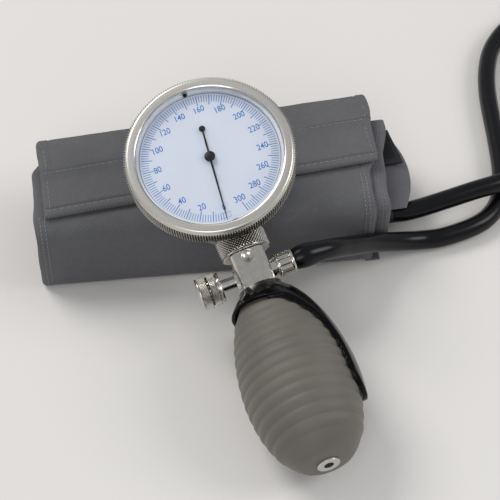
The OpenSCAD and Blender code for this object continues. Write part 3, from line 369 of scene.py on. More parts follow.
class Finish:
    """A material made of nodes. Sizes of patterns are in metres."""

    def __init__(self, name, **sockets):
        self.made = bpy.data.materials.new(name)
        self.made.use_nodes = True
        self.tree = self.made.node_tree
        self.skin = self.tree.nodes["Principled BSDF"]
        self.out = self.tree.nodes["Material Output"]
        for label, value in sockets.items():
            self.skin.inputs[label.replace("_", " ")].default_value = value

    def set(self, socket, value):
        if isinstance(value, bpy.types.NodeSocket):
            self.tree.links.new(value, socket)
        else:
            socket.default_value = value

    def add(self, kind, settings=None, **inputs):
        made = self.tree.nodes.new(kind)
        for label, value in (settings or {}).items():
            setattr(made, label, value)
        for label, value in inputs.items():
            self.set(made.inputs[label.replace("_", " ")], value)
        return made

    def place(self, kind="Object", scale=(1, 1, 1), turn=(0, 0, 0)):
        spot = self.add("ShaderNodeTexCoord").outputs[kind]
        return self.add("ShaderNodeMapping", Vector=spot, Scale=scale, Rotation=turn).outputs[0]

    def grain(self, size, detail=3.0, kind="Object", stretch=(1, 1, 1)):
        """Noise whose spots are about this size."""
        spot = self.place(kind, tuple(s / size for s in stretch))
        return self.add("ShaderNodeTexNoise", Vector=spot, Scale=1.0, Detail=detail, Roughness=0.5).outputs[0]

    def lines(self, size, turn=0.0, bend=0.0):
        """Parallel lines of this pitch, over the UV map."""
        spot = self.place("UV", turn=(0, 0, turn))
        return self.add("ShaderNodeTexWave", {"wave_profile": "SIN", "bands_direction": "X"}, Vector=spot,
                        Scale=math.pi / 10 / size, Distortion=bend, Detail=1.0).outputs["Fac"]

    def mixed(self, amount, low, high):
        blend = self.add("ShaderNodeMix", {"data_type": "RGBA"})
        self.set(blend.inputs[0], amount)
        for socket, value in ((blend.inputs[6], low), (blend.inputs[7], high)):
            self.set(socket, value if isinstance(value, bpy.types.NodeSocket) else (*value[:3], 1))
        return blend.outputs[2]

    def ranged(self, amount, low, high, first=0.3, last=0.7):
        return self.add("ShaderNodeMapRange", Value=amount, From_Min=first, From_Max=last, To_Min=low,
                        To_Max=high).outputs[0]

    def math(self, operation, a, b=0.0, c=0.0):
        made = self.tree.nodes.new("ShaderNodeMath")
        made.operation = operation
        for socket, value in zip(made.inputs, (a, b, c)):
            self.set(socket, value)
        return made.outputs[0]

    def sum(self, a, b, share=1.0):
        return self.math("MULTIPLY_ADD", b, share, a)

    def colour(self, socket):
        self.tree.links.new(socket, self.skin.inputs["Base Color"])

    def roughness(self, socket):
        self.tree.links.new(socket, self.skin.inputs["Roughness"])

    def bump(self, height, depth, strength=1.0):
        made = self.add("ShaderNodeBump", Height=height, Strength=strength, Distance=depth)
        self.tree.links.new(made.outputs[0], self.skin.inputs["Normal"])


def rgb(r, g, b):
    """A colour as it looks on a screen, from 0 to 255."""
    return tuple((v / 255 / 12.92 if v <= 10 else ((v / 255 + 0.055) / 1.055) ** 2.4) for v in (r, g, b))


def metal(name, colour, rough, vary=0.08, brushed=None, kind="Object", spot=0.004, dent=0.0):
    """Metal with a faint cloud in its colour and, where it is brushed, fine lines."""
    finish = Finish(name, Metallic=1.0)
    cloud = finish.grain(spot, 3.0)
    dark = tuple(c * (1 - vary) for c in colour)
    finish.colour(finish.mixed(cloud, dark, colour))
    if brushed:
        stroke = finish.grain(0.001, 2.0, kind, brushed)
        finish.roughness(finish.ranged(stroke, rough * 0.8, rough * 1.3))
        finish.bump(stroke, 0.000012, 0.35)
    else:
        finish.roughness(finish.ranged(cloud, rough * 0.85, rough * 1.2))
        if dent:
            finish.bump(finish.grain(0.0008, 2.0), dent, 0.4)
    return finish.made


def rubber(name, colour, rough, spot=0.003, sheen=0.0, depth=0.00003, shine=0.4):
    """Rubber or plastic with fine pores."""
    finish = Finish(name, Sheen_Weight=sheen, Specular_IOR_Level=shine)
    cloud = finish.grain(spot, 4.0)
    pores = finish.grain(0.0005, 2.0)
    finish.colour(finish.mixed(finish.ranged(cloud, 0, 1), tuple(c * 0.86 for c in colour), colour))
    finish.roughness(finish.ranged(finish.sum(cloud, pores, 0.3), rough * 0.85, rough * 1.15, 0.35, 0.9))
    finish.bump(pores, depth, 0.4)
    return finish.made


def twill(name, colour, pitch=0.00085, turn=0.85, depth=0.00012, contrast=0.2):
    """Nylon cloth with diagonal ribs, which the UV map carries over folds."""
    finish = Finish(name, Roughness=0.78, Sheen_Weight=0.12, Sheen_Roughness=0.4, Specular_IOR_Level=0.25)
    ribs = finish.lines(pitch, turn=turn, bend=0.4)
    yarn = finish.lines(pitch * 0.62, turn=turn + 1.45, bend=0.3)
    weave = finish.math("MULTIPLY", ribs, finish.ranged(yarn, 0.55, 1.0, 0, 1))
    cloud = finish.grain(0.018, 4.0)
    worn = finish.grain(0.0022, 2.0)
    tone = finish.sum(finish.ranged(cloud, 0.0, 0.35), finish.ranged(worn, 0.0, 0.25))
    ground = finish.mixed(tone, tuple(c * 0.88 for c in colour), tuple(min(1, c * 1.22) for c in colour))
    dark = finish.mixed(tone, tuple(c * (0.88 - contrast) for c in colour),
                        tuple(c * (1.1 - contrast) for c in colour))
    finish.colour(finish.mixed(weave, dark, ground))
    finish.bump(finish.sum(weave, worn, 0.25), depth, 0.55)
    return finish.made


def clear():
    """The crystal: clear, with reflections, and letting light through to the dial."""
    finish = Finish("crystal_clear", Base_Color=(1, 1, 1, 1), Roughness=0.02, Transmission_Weight=1.0,
                    IOR=1.2)
    faint = finish.grain(0.03, 1.0)
    finish.roughness(finish.ranged(faint, 0.01, 0.03))
    gate = finish.add("ShaderNodeLightPath")
    open_way = finish.add("ShaderNodeBsdfTransparent", Color=(0.97, 0.98, 0.99, 1))
    mix = finish.add("ShaderNodeMixShader")
    finish.tree.links.new(gate.outputs["Is Shadow Ray"], mix.inputs[0])
    finish.tree.links.new(finish.skin.outputs[0], mix.inputs[1])
    finish.tree.links.new(open_way.outputs[0], mix.inputs[2])
    finish.tree.links.new(mix.outputs[0], finish.out.inputs[0])
    return finish.made


def paper(name, colour, rough=0.45, vary=0.04):
    """Painted or printed metal, nearly even."""
    finish = Finish(name, Specular_IOR_Level=0.4)
    cloud = finish.grain(0.009, 2.0)
    finish.colour(finish.mixed(cloud, tuple(c * (1 - vary) for c in colour), colour))
    finish.roughness(finish.ranged(cloud, rough * 0.9, rough * 1.1))
    return finish.made


bezel_satin = metal("bezel_satin_nickel", rgb(224, 220, 213), 0.30, 0.05, (0.02, 60, 1), "UV")
bezel_fluted = metal("bezel_fluted_nickel", rgb(226, 223, 216), 0.22, 0.08)
# Painted shade: this dark nickel stands in for the shade deep in the bezel's flute valleys and between the
# knurls.
valley_painted_shade = metal("nickel_valleys", rgb(48, 46, 44), 0.5, 0.2)
polished = metal("polished_nickel", rgb(214, 210, 202), 0.09, 0.04)
brushed_body = metal("brushed_nickel", rgb(226, 222, 214), 0.2, 0.3, (60, 4, 60), spot=0.0028)
knurled = metal("knurled_nickel", rgb(238, 235, 230), 0.22, 0.06)
case_satin = metal("satin_case_nickel", rgb(168, 166, 160), 0.34, 0.08, dent=0.00001)
brass = metal("brass_parts", rgb(206, 172, 104), 0.24, 0.1)
bronze = metal("bronze_capsule", rgb(190, 140, 96), 0.28, 0.12)
steel = metal("steel_parts", rgb(170, 172, 176), 0.22, 0.08)
spring_bronze = metal("spring_bronze", rgb(196, 146, 92), 0.22, 0.08)
screw_dark = metal("dark_screw", rgb(52, 54, 58), 0.3, 0.2)
crystal_clear = clear()
ring_blue = paper("dial_ring_blue", rgb(204, 209, 218), 0.3)
dial_white = paper("dial_white", rgb(176, 182, 194), 0.4, 0.03)
ink_blue = paper("dial_ink_blue", rgb(20, 92, 160), 0.45, 0.12)
ink_tick = paper("dial_tick_blue", rgb(48, 104, 158), 0.45, 0.12)
edge_blue = paper("dial_edge_grey", rgb(96, 102, 116), 0.4, 0.1)
pointer_black = rubber("pointer_black", rgb(22, 23, 25), 0.22, depth=0.000005)
hose_black = rubber("hose_black_rubber", rgb(14, 14, 17), 0.24, 0.012, depth=0.00001, shine=0.24)
bladder_black = rubber("bladder_black_rubber", rgb(38, 38, 41), 0.5)
seal_black = rubber("seal_rubber", rgb(30, 30, 32), 0.5)
bulb_grey = rubber("bulb_warm_grey_rubber", rgb(106, 102, 94), 0.55, 0.012, 0.1, 0.00004)
guard_black = rubber("guard_gloss_black", rgb(7, 7, 9), 0.12, 0.01, depth=0.000003, shine=0.14)
valve_plastic = rubber("valve_grey_plastic", rgb(70, 70, 72), 0.45)
end_metal = metal("end_valve_nickel", rgb(226, 224, 218), 0.3, 0.05)
# Painted shade: a dark dish that stands for the shaded inside of the end valve's hole.
hole_dark = rubber("hole_dark", rgb(12, 12, 13), 0.8)
screen_steel = metal("screen_steel", rgb(120, 120, 118), 0.4, 0.3)
cloth_grey = twill("cuff_twill_grey", rgb(109, 109, 112), contrast=0.34)
cloth_inner = twill("cuff_inner_twill", rgb(112, 112, 116), contrast=0.34)
thread_grey = rubber("stitch_thread_grey", rgb(150, 150, 152), 0.7)
thread_dark = rubber("stitch_thread_dark", rgb(132, 132, 136), 0.7)
loop_grey = rubber("loop_pile_grey", rgb(72, 73, 77), 0.95, 0.0012, 0.3, 0.0003)
hook_black = rubber("hook_tape_black", rgb(26, 27, 29), 0.5, 0.001, depth=0.0001)
tab_grey = twill("size_tab_grey", rgb(112, 113, 117), 0.0006, 0.0, 0.00008)


def dress(obj, finish, body="monitor", replaces=()):
    """Gives a piece its finish and its body, and hides the CAD nodes that it stands for."""
    obj.data.materials.clear()
    obj.data.materials.append(finish)
    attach(obj, body)
    if replaces:
        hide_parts(*replaces)
    return obj


def finish_nodes(finish, *names):
    """Gives their finish to CAD nodes that show as they are."""
    for name in names:
        nodes[name].data.materials.clear()
        nodes[name].data.materials.append(finish)


# Hose: the route of the part's own hose, from the connector nut round to the cuff

NUT_FOOT, NUT_L = 6.7 + 2.3 + 0.1, 7  # half the body with the port's flange and a gap, and the nut's length
HOSE_R = 4.0
START = HAND @ Vector((NUT_FOOT + NUT_L, -PORT_S, 0))
HOSE_END = Vector((73.5, -17.26, 11.08))
ROUTE = [
    START, START + HAND.to_3x3() @ Vector((5, 0, 0)),
    (39, -50.2, 31.2), (48.6, -44, 24.5), (61, -35.9, 15.4), (73.8, -30.4, 8), (84, -28.2, 4.6),
    (94, -27.6, 4.1),
    (108, -23.8, 4.1), (116.6, -18.4, 4.1), (122.9, -9.8, 4.1), (128, 5.6, 4.1), (131.4, 25.4, 4.1),
    (133.4, 40.4, 4.1), (135.8, 55.6, 4.1), (139.6, 70.2, 4.1), (145.3, 83.6, 4.1), (153.5, 94.5, 4.1),
    (162.2, 101.7, 4.1), (172.8, 105.6, 4.1), (184, 105.6, 4.1), (194.7, 101.7, 4.1), (203.3, 94.5, 4.1),
    (208.9, 84.7, 4.1), (210.9, 73.6, 4.1), (208.9, 62.5, 4.1), (203.3, 52.7, 4.1), (192.2, 42.2, 4.1),
    (178, 30.5, 4.3), (163, 17.5, 6), (150, 6, 9), (137, -3, 11.8), (122.4, -8.9, 12.8), (110, -11.8, 12.9),
    (98, -14.6, 12.6), (87, -16.6, 11.8),
    HOSE_END + Vector((6, 0, 0)), HOSE_END
]


def smooth_line(points, steps):
    """A curve through all the points."""
    points = [Vector(p) for p in points]
    out = []
    for i in range(len(points) - 1):
        a, b, c, d = points[max(0, i - 1)], points[i], points[i + 1], points[min(len(points) - 1, i + 2)]
        for k in range(steps):
            t = k / steps
            out.append(0.5 * (2 * b + (c - a) * t + (2 * a - 5 * b + 4 * c - d) * t * t
                              + (3 * b - a - 3 * c + d) * t ** 3))
    return out + [points[-1]]


def tube(name, line, radius_at):
    """A closed tube along a line. Its UV map runs round it and along it, in metres."""
    sides = 24
    verts, uv, faces = [], [], []
    gone = 0
    for i, p in enumerate(line):
        gone += (p - line[i - 1]).length if i else 0
        along = (line[min(i + 1, len(line) - 1)] - line[max(i - 1, 0)]).normalized()
        across = Vector((0, 0, 1)).cross(along).normalized()
        up = along.cross(across)
        r = radius_at(gone)
        for k in range(sides):
            a = 2 * math.pi * k / sides
            verts.append(p + r * (math.cos(a) * across + math.sin(a) * up))
            uv.append((a * r * 0.001, gone * 0.001))
    for i in range(len(line) - 1):
        for k in range(sides):
            n = (k + 1) % sides
            faces.append((i * sides + k, i * sides + n, (i + 1) * sides + n, (i + 1) * sides + k))
    faces += [tuple(range(sides))[::-1], tuple((len(line) - 1) * sides + k for k in range(sides))]
    return outward(piece(name, verts, faces, TABLE, 60, uv))


def make_hose():
    line = smooth_line(ROUTE, 8)

    # The hose swells over the nut's tail, behind a thin lip
    def radius_at(s):
        swell = math.exp(-((s - 5) / 4.2) ** 2) * 0.75
        lip = 0.35 * max(0, 1 - s / 1.2)
        return HOSE_R + swell - lip * 0.6

    hose = tube("hose_tube", line, radius_at)
    dress(hose, hose_black, replaces=["hose"])


make_hose()

# Gauge head


BEZEL_SIDES = 256


def make_gauge():
    body = [(28.8, -0.8), (28.8, -0.35), (29.0, 0.0), (29.35, 0.15), (31.7, 0.15), (32.1, -0.05),
            (32.35, -0.45), (32.5, -1.2), (32.8, -1.5), (32.8, -7.5), (32.4, -7.8), (31.05, -7.8),
            (31.05, -0.8)]
    bezel = lathe("bezel_body", eased(body, 0.22), GAUGE, BEZEL_SIDES)
    dress(bezel, bezel_satin, replaces=["bezel_ring"])
    # A dark ring under the flutes, as painted shade in their valleys.
    valley = lathe("bezel_flute_valleys",
                   eased([(32.4, -1.35), (32.95, -1.75), (32.95, -7.6), (32.4, -7.7)], 0.04), GAUGE,
                   BEZEL_SIDES)
    dress(valley, valley_painted_shade)
    flutes = grown("bezel_flutes", RIBS, bezel_fluted, GAUGE, sharp=40, Count=200, Radius=32.95, Low=-7.75,
                   Height=6.2, Width=0.26, Depth=0.6)
    dress(flutes, bezel_fluted)
    edge = [(28.62, -0.95), (28.62, -0.25), (28.78, -0.05), (29.05, 0.1), (29.05, -0.1), (28.9, -0.8),
            (28.9, -0.95)]
    dress(lathe("bezel_inner_edge", eased(edge, 0.08), GAUGE, BEZEL_SIDES), polished)
    finish_nodes(crystal_clear, "crystal")
    finish_nodes(ring_blue, "dial_ring")
    finish_nodes(dial_white, "dial_plate")
    finish_nodes(screw_dark, "dial_screws")
    finish_nodes(steel, "pinion_arbor", "rocker_shaft", "movement_pillars", "movement_screws")
    finish_nodes(spring_bronze, "hairspring")
    finish_nodes(brass, "sector_gear", "movement_top_plate", "movement_base_plate", "capsule_base",
                 "gauge_stem")
    finish_nodes(bronze, "capsule_top", "capsule_pan")
    finish_nodes(seal_black, "stem_seal")
    case = moulded("gauge_case", "case_funnel", 0.34, 4)
    dress(case, case_satin, replaces=["gauge_case"])


# Heights under the bezel's front, and angles in degrees from straight down
DIAL_FACE, POINTER_FACE = -3.6, -(2.1 + 0.7)
ZERO_TURN, SCALE_SWEEP, PRINT_TURN = 6.0, 341.25, 2.8
SCALE_END, PRINT_THICK = 300, 0.02


def flat_text(words, height, x, y, turn, narrow=0.86, weight=0.0):
    """Numbers as a thin mesh lying on the dial."""
    curve = bpy.data.curves.new("number", "FONT")
    curve.body, curve.align_x, curve.align_y = words, "CENTER", "CENTER"
    numeral_share = 0.73
    curve.size, curve.extrude, curve.offset, curve.resolution_u = height / numeral_share, 0.01, weight, 6
    obj = bpy.data.objects.new("number", curve)
    bpy.context.scene.collection.objects.link(obj)
    mesh = bpy.data.meshes.new_from_object(obj.evaluated_get(bpy.context.evaluated_depsgraph_get()))
    bpy.data.objects.remove(obj)
    mesh.transform(moved(x, y, 0) @ turned(0, 0, turn) @ Matrix.Diagonal((narrow, 1, 1, 1)))
    return mesh


def joined(name, meshes, place):
    """Several meshes as one piece, in a frame."""
    work = bmesh.new()
    for mesh in meshes:
        work.from_mesh(mesh)
        bpy.data.meshes.remove(mesh)
    mesh = bpy.data.meshes.new(name)
    work.to_mesh(mesh)
    work.free()
    mesh.transform(MM @ place)
    return shown(name, mesh, 30)


def slab(x0, y0, x1, y1, turn=0.0, at=(0, 0)):
    """A thin printed bar."""
    work = bmesh.new()
    bmesh.ops.create_cube(work, size=1)
    size = Matrix.Diagonal((abs(x1 - x0), abs(y1 - y0), PRINT_THICK, 1))
    middle = moved((x0 + x1) / 2, (y0 + y1) / 2, 0)
    work.transform(moved(at[0], at[1], 0) @ turned(0, 0, turn) @ middle @ size)
    mesh = bpy.data.meshes.new("bar")
    work.to_mesh(mesh)
    work.free()
    return mesh


def on_dial(value, radius):
    """Where a value stands on the dial. The scale runs clockwise."""
    turn = math.radians(ZERO_TURN + value * SCALE_SWEEP / SCALE_END)
    return -math.sin(turn) * radius, -math.cos(turn) * radius


def make_print():
    sheet = GAUGE @ moved(0, 0, DIAL_FACE + PRINT_THICK)
    numbers = []
    for value, height, radius in [(v, 2.6, 20.7) for v in range(20, SCALE_END + 1, 20)] + [(0, 2.4, 21.6)]:
        numbers.append(flat_text(str(value), height, *on_dial(value, radius), PRINT_TURN, weight=0.03))
    dress(joined("dial_numbers", numbers, sheet), ink_blue)
    marks = grown("dial_marks", TICKS, ink_tick, sheet, sharp=30, First=ZERO_TURN, Sweep=SCALE_SWEEP,
                  Outer=26.6, Short=2.9, Long=4.2, Width=0.25, Bold=0.34)
    dress(marks, ink_tick)
    at = on_dial(0, 24.7)
    wide, tall, line = 1.9, 1.0, 0.13
    box = [slab(-wide, side * tall - line / 2, wide, side * tall + line / 2, -ZERO_TURN, at)
           for side in (-1, 1)]
    box += [slab(side * wide - line / 2, -tall, side * wide + line / 2, tall, -ZERO_TURN, at)
            for side in (-1, 1)]
    dress(joined("zero_box", box, sheet), ink_tick)
    edge = lathe("dial_edge_line", [(27.25, 0), (27.5, 0), (27.5, 0.03), (27.25, 0.03)], sheet, 160, 30)
    dress(edge, edge_blue)


def make_pointer():
    turn = GAUGE @ turned(0, 0, -90 - ZERO_TURN) @ moved(0, 0, POINTER_FACE)
    hub = lathe("pointer_hub", eased([(0.55, 0), (2.1, 0), (2.1, 0.75), (1.85, 1.05), (1.0, 1.2), (0, 1.24),
                                      (0, 0.72), (0.55, 0.7)], 0.12), turn, 64)
    dress(hub, pointer_black, "needle", ["pointer"])
    outline = [(-11.0, 0.3), (0, 0.42), (21, 0.28), (26.2, 0.1), (26.2, -0.1), (21, -0.28), (0, -0.42),
               (-11.0, -0.3)]
    count = len(outline)
    verts = [(x, y * 0.82, 0.02) for x, y in outline] + [(x, y, 0.15) for x, y in outline]
    verts += [(x, y * 0.5, 0.35) for x, y in outline]
    faces = [tuple(range(count)), tuple(range(2 * count, 3 * count))]
    faces += [(k * count + i, k * count + (i + 1) % count, (k + 1) * count + (i + 1) % count,
               (k + 1) * count + i)
              for k in range(2) for i in range(count)]
    dress(outward(piece("pointer_needle", verts, faces, turn)), pointer_black, "needle")
    weight = lathe("pointer_weight",
                   eased([(0, 0), (1.3, 0), (1.3, 0.25), (1.1, 0.4), (0, 0.45)], 0.08, closed=False),
                   turn @ moved(-12.1, 0, 0), 48, closed=False)
    dress(weight, pointer_black, "needle")


make_gauge()
make_print()
make_pointer()

# Valve body


def knurl_band(name, place, body, radius, low, high, size, fill=0.38):
    """A band of diamond knurling, over a dark ring that stands in as painted shade in its valleys."""
    around = int(2 * math.pi * radius / size)
    step = size / 2
    rows = max(2, int((high - low) / step) + 1)
    depth = size * 0.55
    band = grown(name, KNURL, knurled, place, sharp=10, Around=around, Rows=rows,
                 Radius=radius + depth * 0.45, Low=low, Step=(high - low) / (rows - 1), Size=size * fill,
                 Depth=depth)
    inside, outside, foot, head = radius - 0.1, radius + 0.04, low - 0.3, high + 0.3
    # The dark ring under the knurls is painted shade for their valleys.
    under = lathe(f"{name}_valleys", [(inside, foot), (outside, foot), (outside, head), (inside, head)],
                  place, 96)
    dress(under, valley_painted_shade, body)
    return dress(band, knurled, body)


def make_valve():
    nut = [(6.26, 0), (8.7, 0), (9.3, -0.35), (9.3, -0.6), (9.1, -0.75), (9.1, -7.4), (9.3, -7.6),
           (9.0, -8), (7.35, -8), (7.35, -2), (6.26, -2)]
    dress(lathe("collar_nut_body", eased(nut, 0.2), AXIS, 160), polished,
          replaces=["collar_nut"])
    knurl_band("collar_nut_knurl", AXIS, "monitor", 9.12, -7.2, -0.95, 1.2)
    body = moulded("valve_body", "valve_block", 0.17, 3)
    dress(body, brushed_body, replaces=["valve_body"])
    finish_nodes(polished, "release_bush", "release_spindle", "hose_port", "bulb_spigot")
    finish_nodes(seal_black, "release_seal", "outlet_disc", "intake_disc")
    finish_nodes(valve_plastic, "outlet_cage", "intake_cage")
    low, high = 13.6, 23.2
    knob = [(2.45, low), (5.9, low), (5.9, low + 0.9), (5.2, low + 0.95), (5.2, low + 1.3), (5.95, low + 1.5),
            (5.95, low + 4.5), (5.5, low + 4.6), (5.5, low + 5.1), (5.95, low + 5.2), (5.95, low + 8.4),
            (6.3, low + 8.5), (6.35, low + 8.8), (6.0, high - 0.4), (5.2, high - 0.12), (3.8, high),
            (0, high), (0, high - 1.5), (2.45, high - 1.5)]
    dress(lathe("release_knob_body", eased(knob, 0.16), RELEASE, 128), polished, "knob",
          ["release_knob"])
    for word, foot, head in (("in", low + 1.9, low + 4.2), ("out", low + 5.5, low + 8.1)):
        knurl_band(f"release_knob_knurl_{word}", RELEASE, "knob", 5.95, foot, head, 0.8,
                   0.44)
    dashes = grown("release_knob_dashes", RIBS, guard_black, RELEASE, sharp=30, Count=22, Radius=5.62,
                   Low=low + 4.65, Height=0.4, Width=0.5, Depth=0.06)
    dress(dashes, guard_black, "knob")
    start, end = NUT_FOOT, NUT_FOOT + NUT_L
    nut = [(2.3, start), (4.5, start), (4.8, start + 0.3), (4.8, start + 0.9), (4.35, start + 1.1),
           (4.35, start + 5.6), (4.8, start + 5.8), (4.8, start + 6.6), (4.5, end), (2.3, end)]
    dress(lathe("connector_nut_body", eased(nut, 0.15), PORT, 128), polished,
          replaces=["connector_nut"])
    flutes = grown("connector_nut_flutes", RIBS, polished, PORT, sharp=30, Count=16, Radius=4.3,
                   Low=start + 1.15, Height=4.4, Width=0.62, Depth=0.5)
    dress(flutes, polished)


make_valve()

# Bulb

# Lengths along the bulb from the valve body's top, radii, and the run of its ribs
WIDE_S, END_S, NECK_START, SHOULDER_S = 61.0, 92.4, 19.2, 15.5
BULB_R, NECK_R, BULB_WALL, END_HOLE_R, NECK_HOLE_R = 20.7, 7.8, 2.2, 3.45, 4.85
RIB_RUN, RIB_HEIGHT = 58.0, 0.5
RIB_FIRST, RIB_PITCH = WIDE_S - RIB_RUN * 0.57, RIB_RUN / 13


def bulb_shape(s):
    """The bulb's radius without its ribs: a shoulder, the widest place and a blunt end."""
    if s < WIDE_S:
        return BULB_R * math.sqrt(max(0, 1 - ((WIDE_S - s) / (WIDE_S - SHOULDER_S)) ** 1.8))
    return BULB_R * max(0, 1 - ((s - WIDE_S) / (END_S + 2 - WIDE_S)) ** 2) ** 0.4


def bulb_rib(s):
    """How far the ribs stand out, here."""
    if s < RIB_FIRST or s > RIB_FIRST + RIB_RUN:
        return 0
    wave = 0.5 - 0.5 * math.cos(2 * math.pi * (s - RIB_FIRST) / RIB_PITCH)
    return RIB_HEIGHT * wave ** 0.55


def make_bulb():
    """The ribbed bulb, flat where it bears on the table, with its guard and its end valve."""
    count = 360
    last_s = END_S - 1.4
    skin = []
    for i in range(count + 1):
        s = NECK_START + (last_s - NECK_START) * i / count
        skin.append((max(NECK_R, bulb_shape(s)) + bulb_rib(s), s))
    end = skin[-1][0]
    skin += [(end - 0.7, last_s + 0.55), (end - 1.6, last_s + 0.85), (end - 2.8, END_S - 0.25),
             (4.9, END_S - 0.1), (4.3, END_S), (END_HOLE_R, END_S), (END_HOLE_R, END_S - 7)]
    skin += [(max(END_HOLE_R, bulb_shape(s) - BULB_WALL), s)
             for s in np.linspace(END_S - 8, NECK_START + 10, 40)]
    skin += [(NECK_HOLE_R, NECK_START + 9), (NECK_HOLE_R, NECK_START)]
    bulb = lathe("bulb_ribbed", skin, BULB, 160, 180)
    table_gap = 0.00002
    for v in bulb.data.vertices:
        v.co.z = max(v.co.z, table_gap)
    dress(bulb, bulb_grey, replaces=["squeeze_bulb"])
    guard = moulded("spoon_guard", "spoon_guard_moulded", 0.3, 5)
    dress(guard, guard_black, replaces=["spoon_guard"])
    valve = moulded("end_valve", "end_valve_plate", 0.12, 2)
    dress(valve, end_metal, replaces=["end_valve"])
    # A dark dish over the end valve's hole, painted shade where its inside is.
    rim = [(0, END_S + 0.9), (1.4, END_S + 0.9), (1.6, END_S + 0.93), (1.85, END_S + 0.93),
           (1.85, END_S + 0.85), (0, END_S + 0.6)]
    dress(lathe("end_valve_hole", eased(rim, 0.05, closed=False), BULB, 48, closed=False), hole_dark)
    finish_nodes(screen_steel, "dust_screen")


make_bulb()

# Cuff. Heights are those of the part's own layers.

PITCH, LAYERS, THICK, CORNER, HALF_DEPTH = 3.34, 10, 3.0, 8.0, 28.0
LAYER_GAP, SOFT_GAP = 0.34, 0.3
HALF_WIDTH, OVERHANG = 67.5, 7
PACKAGE_TOP = LAYERS * PITCH - LAYER_GAP
FLAP_THICK, FLAP_LENGTH, FLAP_SKEW = 2.2, 23.5, 4.4
FLAP_TOP = LAYERS * PITCH + FLAP_THICK
SEAM_Y, TURN_Y = 9.6, HALF_DEPTH - CORNER
# Where the near and the far side of the cuff begin to run out of square, and where they do so in full
NEAR_RUN, FAR_RUN = (-1, -9), (SEAM_Y, 24)
NEAR_CREASE, FAR_CREASE = 0.55, 0.9


def layer_z(n):
    return n * PITCH + THICK / 2


def turn_points(low, high, side, inset):
    """A fold from one layer round to another, as (y, z) points at the near or the far side."""
    z0, z1 = layer_z(low), layer_z(high)
    up = 1 if z1 > z0 else -1
    face = HALF_DEPTH - inset - THICK / 2
    r = CORNER - inset - THICK / 2
    out = []
    for k in range(13):
        a = math.radians(90 * k / 12)
        out.append((side * (face - r + r * math.sin(a)), z0 + up * r * (1 - math.cos(a))))
    for k in range(13):
        a = math.radians(90 * k / 12)
        out.append((side * (face - r + r * math.cos(a)), z1 - up * r * (1 - math.sin(a))))
    return out


def reach_at(z, low, high, r):
    """How far a fold with two round corners reaches out beyond their centres, at a height."""
    away = low - z if z < low else z - high if z > high else 0
    return math.sqrt(max(0, r * r - away * away))


def room_beyond(a, b, top, r):
    """How far the space inside a fold reaches beyond its corners' centres, between two heights."""
    return min(reach_at(z, CORNER, top - CORNER, r) for z in (a, b))


# Where the pieces inside the folds end, between two heights


def front_y(a, b):
    return -TURN_Y - room_beyond(a, b, PACKAGE_TOP, CORNER - THICK - SOFT_GAP)


def inner_y(a, b):
    return TURN_Y + room_beyond(a, b, PACKAGE_TOP, CORNER - PITCH - THICK - SOFT_GAP)


def far_y(a, b):
    return TURN_Y + room_beyond(a, b, PACKAGE_TOP + PITCH, CORNER - THICK - SOFT_GAP)


def spaced(line, pitch):
    """The same line with points an even distance apart."""
    line = [Vector(p) for p in line]
    gone = [0.0]
    for a, b in zip(line, line[1:]):
        gone.append(gone[-1] + (b - a).length)
    count = max(4, round(gone[-1] / pitch))
    out = []
    at = 0
    for i in range(count + 1):
        want = gone[-1] * i / count
        while at < len(line) - 2 and gone[at + 1] < want:
            at += 1
        t = (want - gone[at]) / max(1e-9, gone[at + 1] - gone[at])
        out.append(line[at].lerp(line[at + 1], min(1, max(0, t))))
    return out, gone[-1]


def drop_off(d, r):
    """How much of the thickness is left at a distance from a rounded edge."""
    return math.sqrt(max(0.0, 1 - (1 - min(1, max(0, d) / r)) ** 2))


def two_skins(across, along, closed=True):
    """Faces of two grids of points, one over the other, and of the strips that join their edges."""
    under = across * along
    faces = []
    for start in (0, under):
        for i in range(along - 1):
            for j in range(across - 1):
                a = start + i * across + j
                faces.append((a, a + 1, a + across + 1, a + across))
    if closed:
        for i in range(along - 1):
            for j in (0, across - 1):
                a = i * across + j
                faces.append((a, a + across, under + a + across, under + a))
        for j in range(across - 1):
            for i in (0, along - 1):
                a = i * across + j
                faces.append((a, under + a, under + a + 1, a + 1))
    return faces


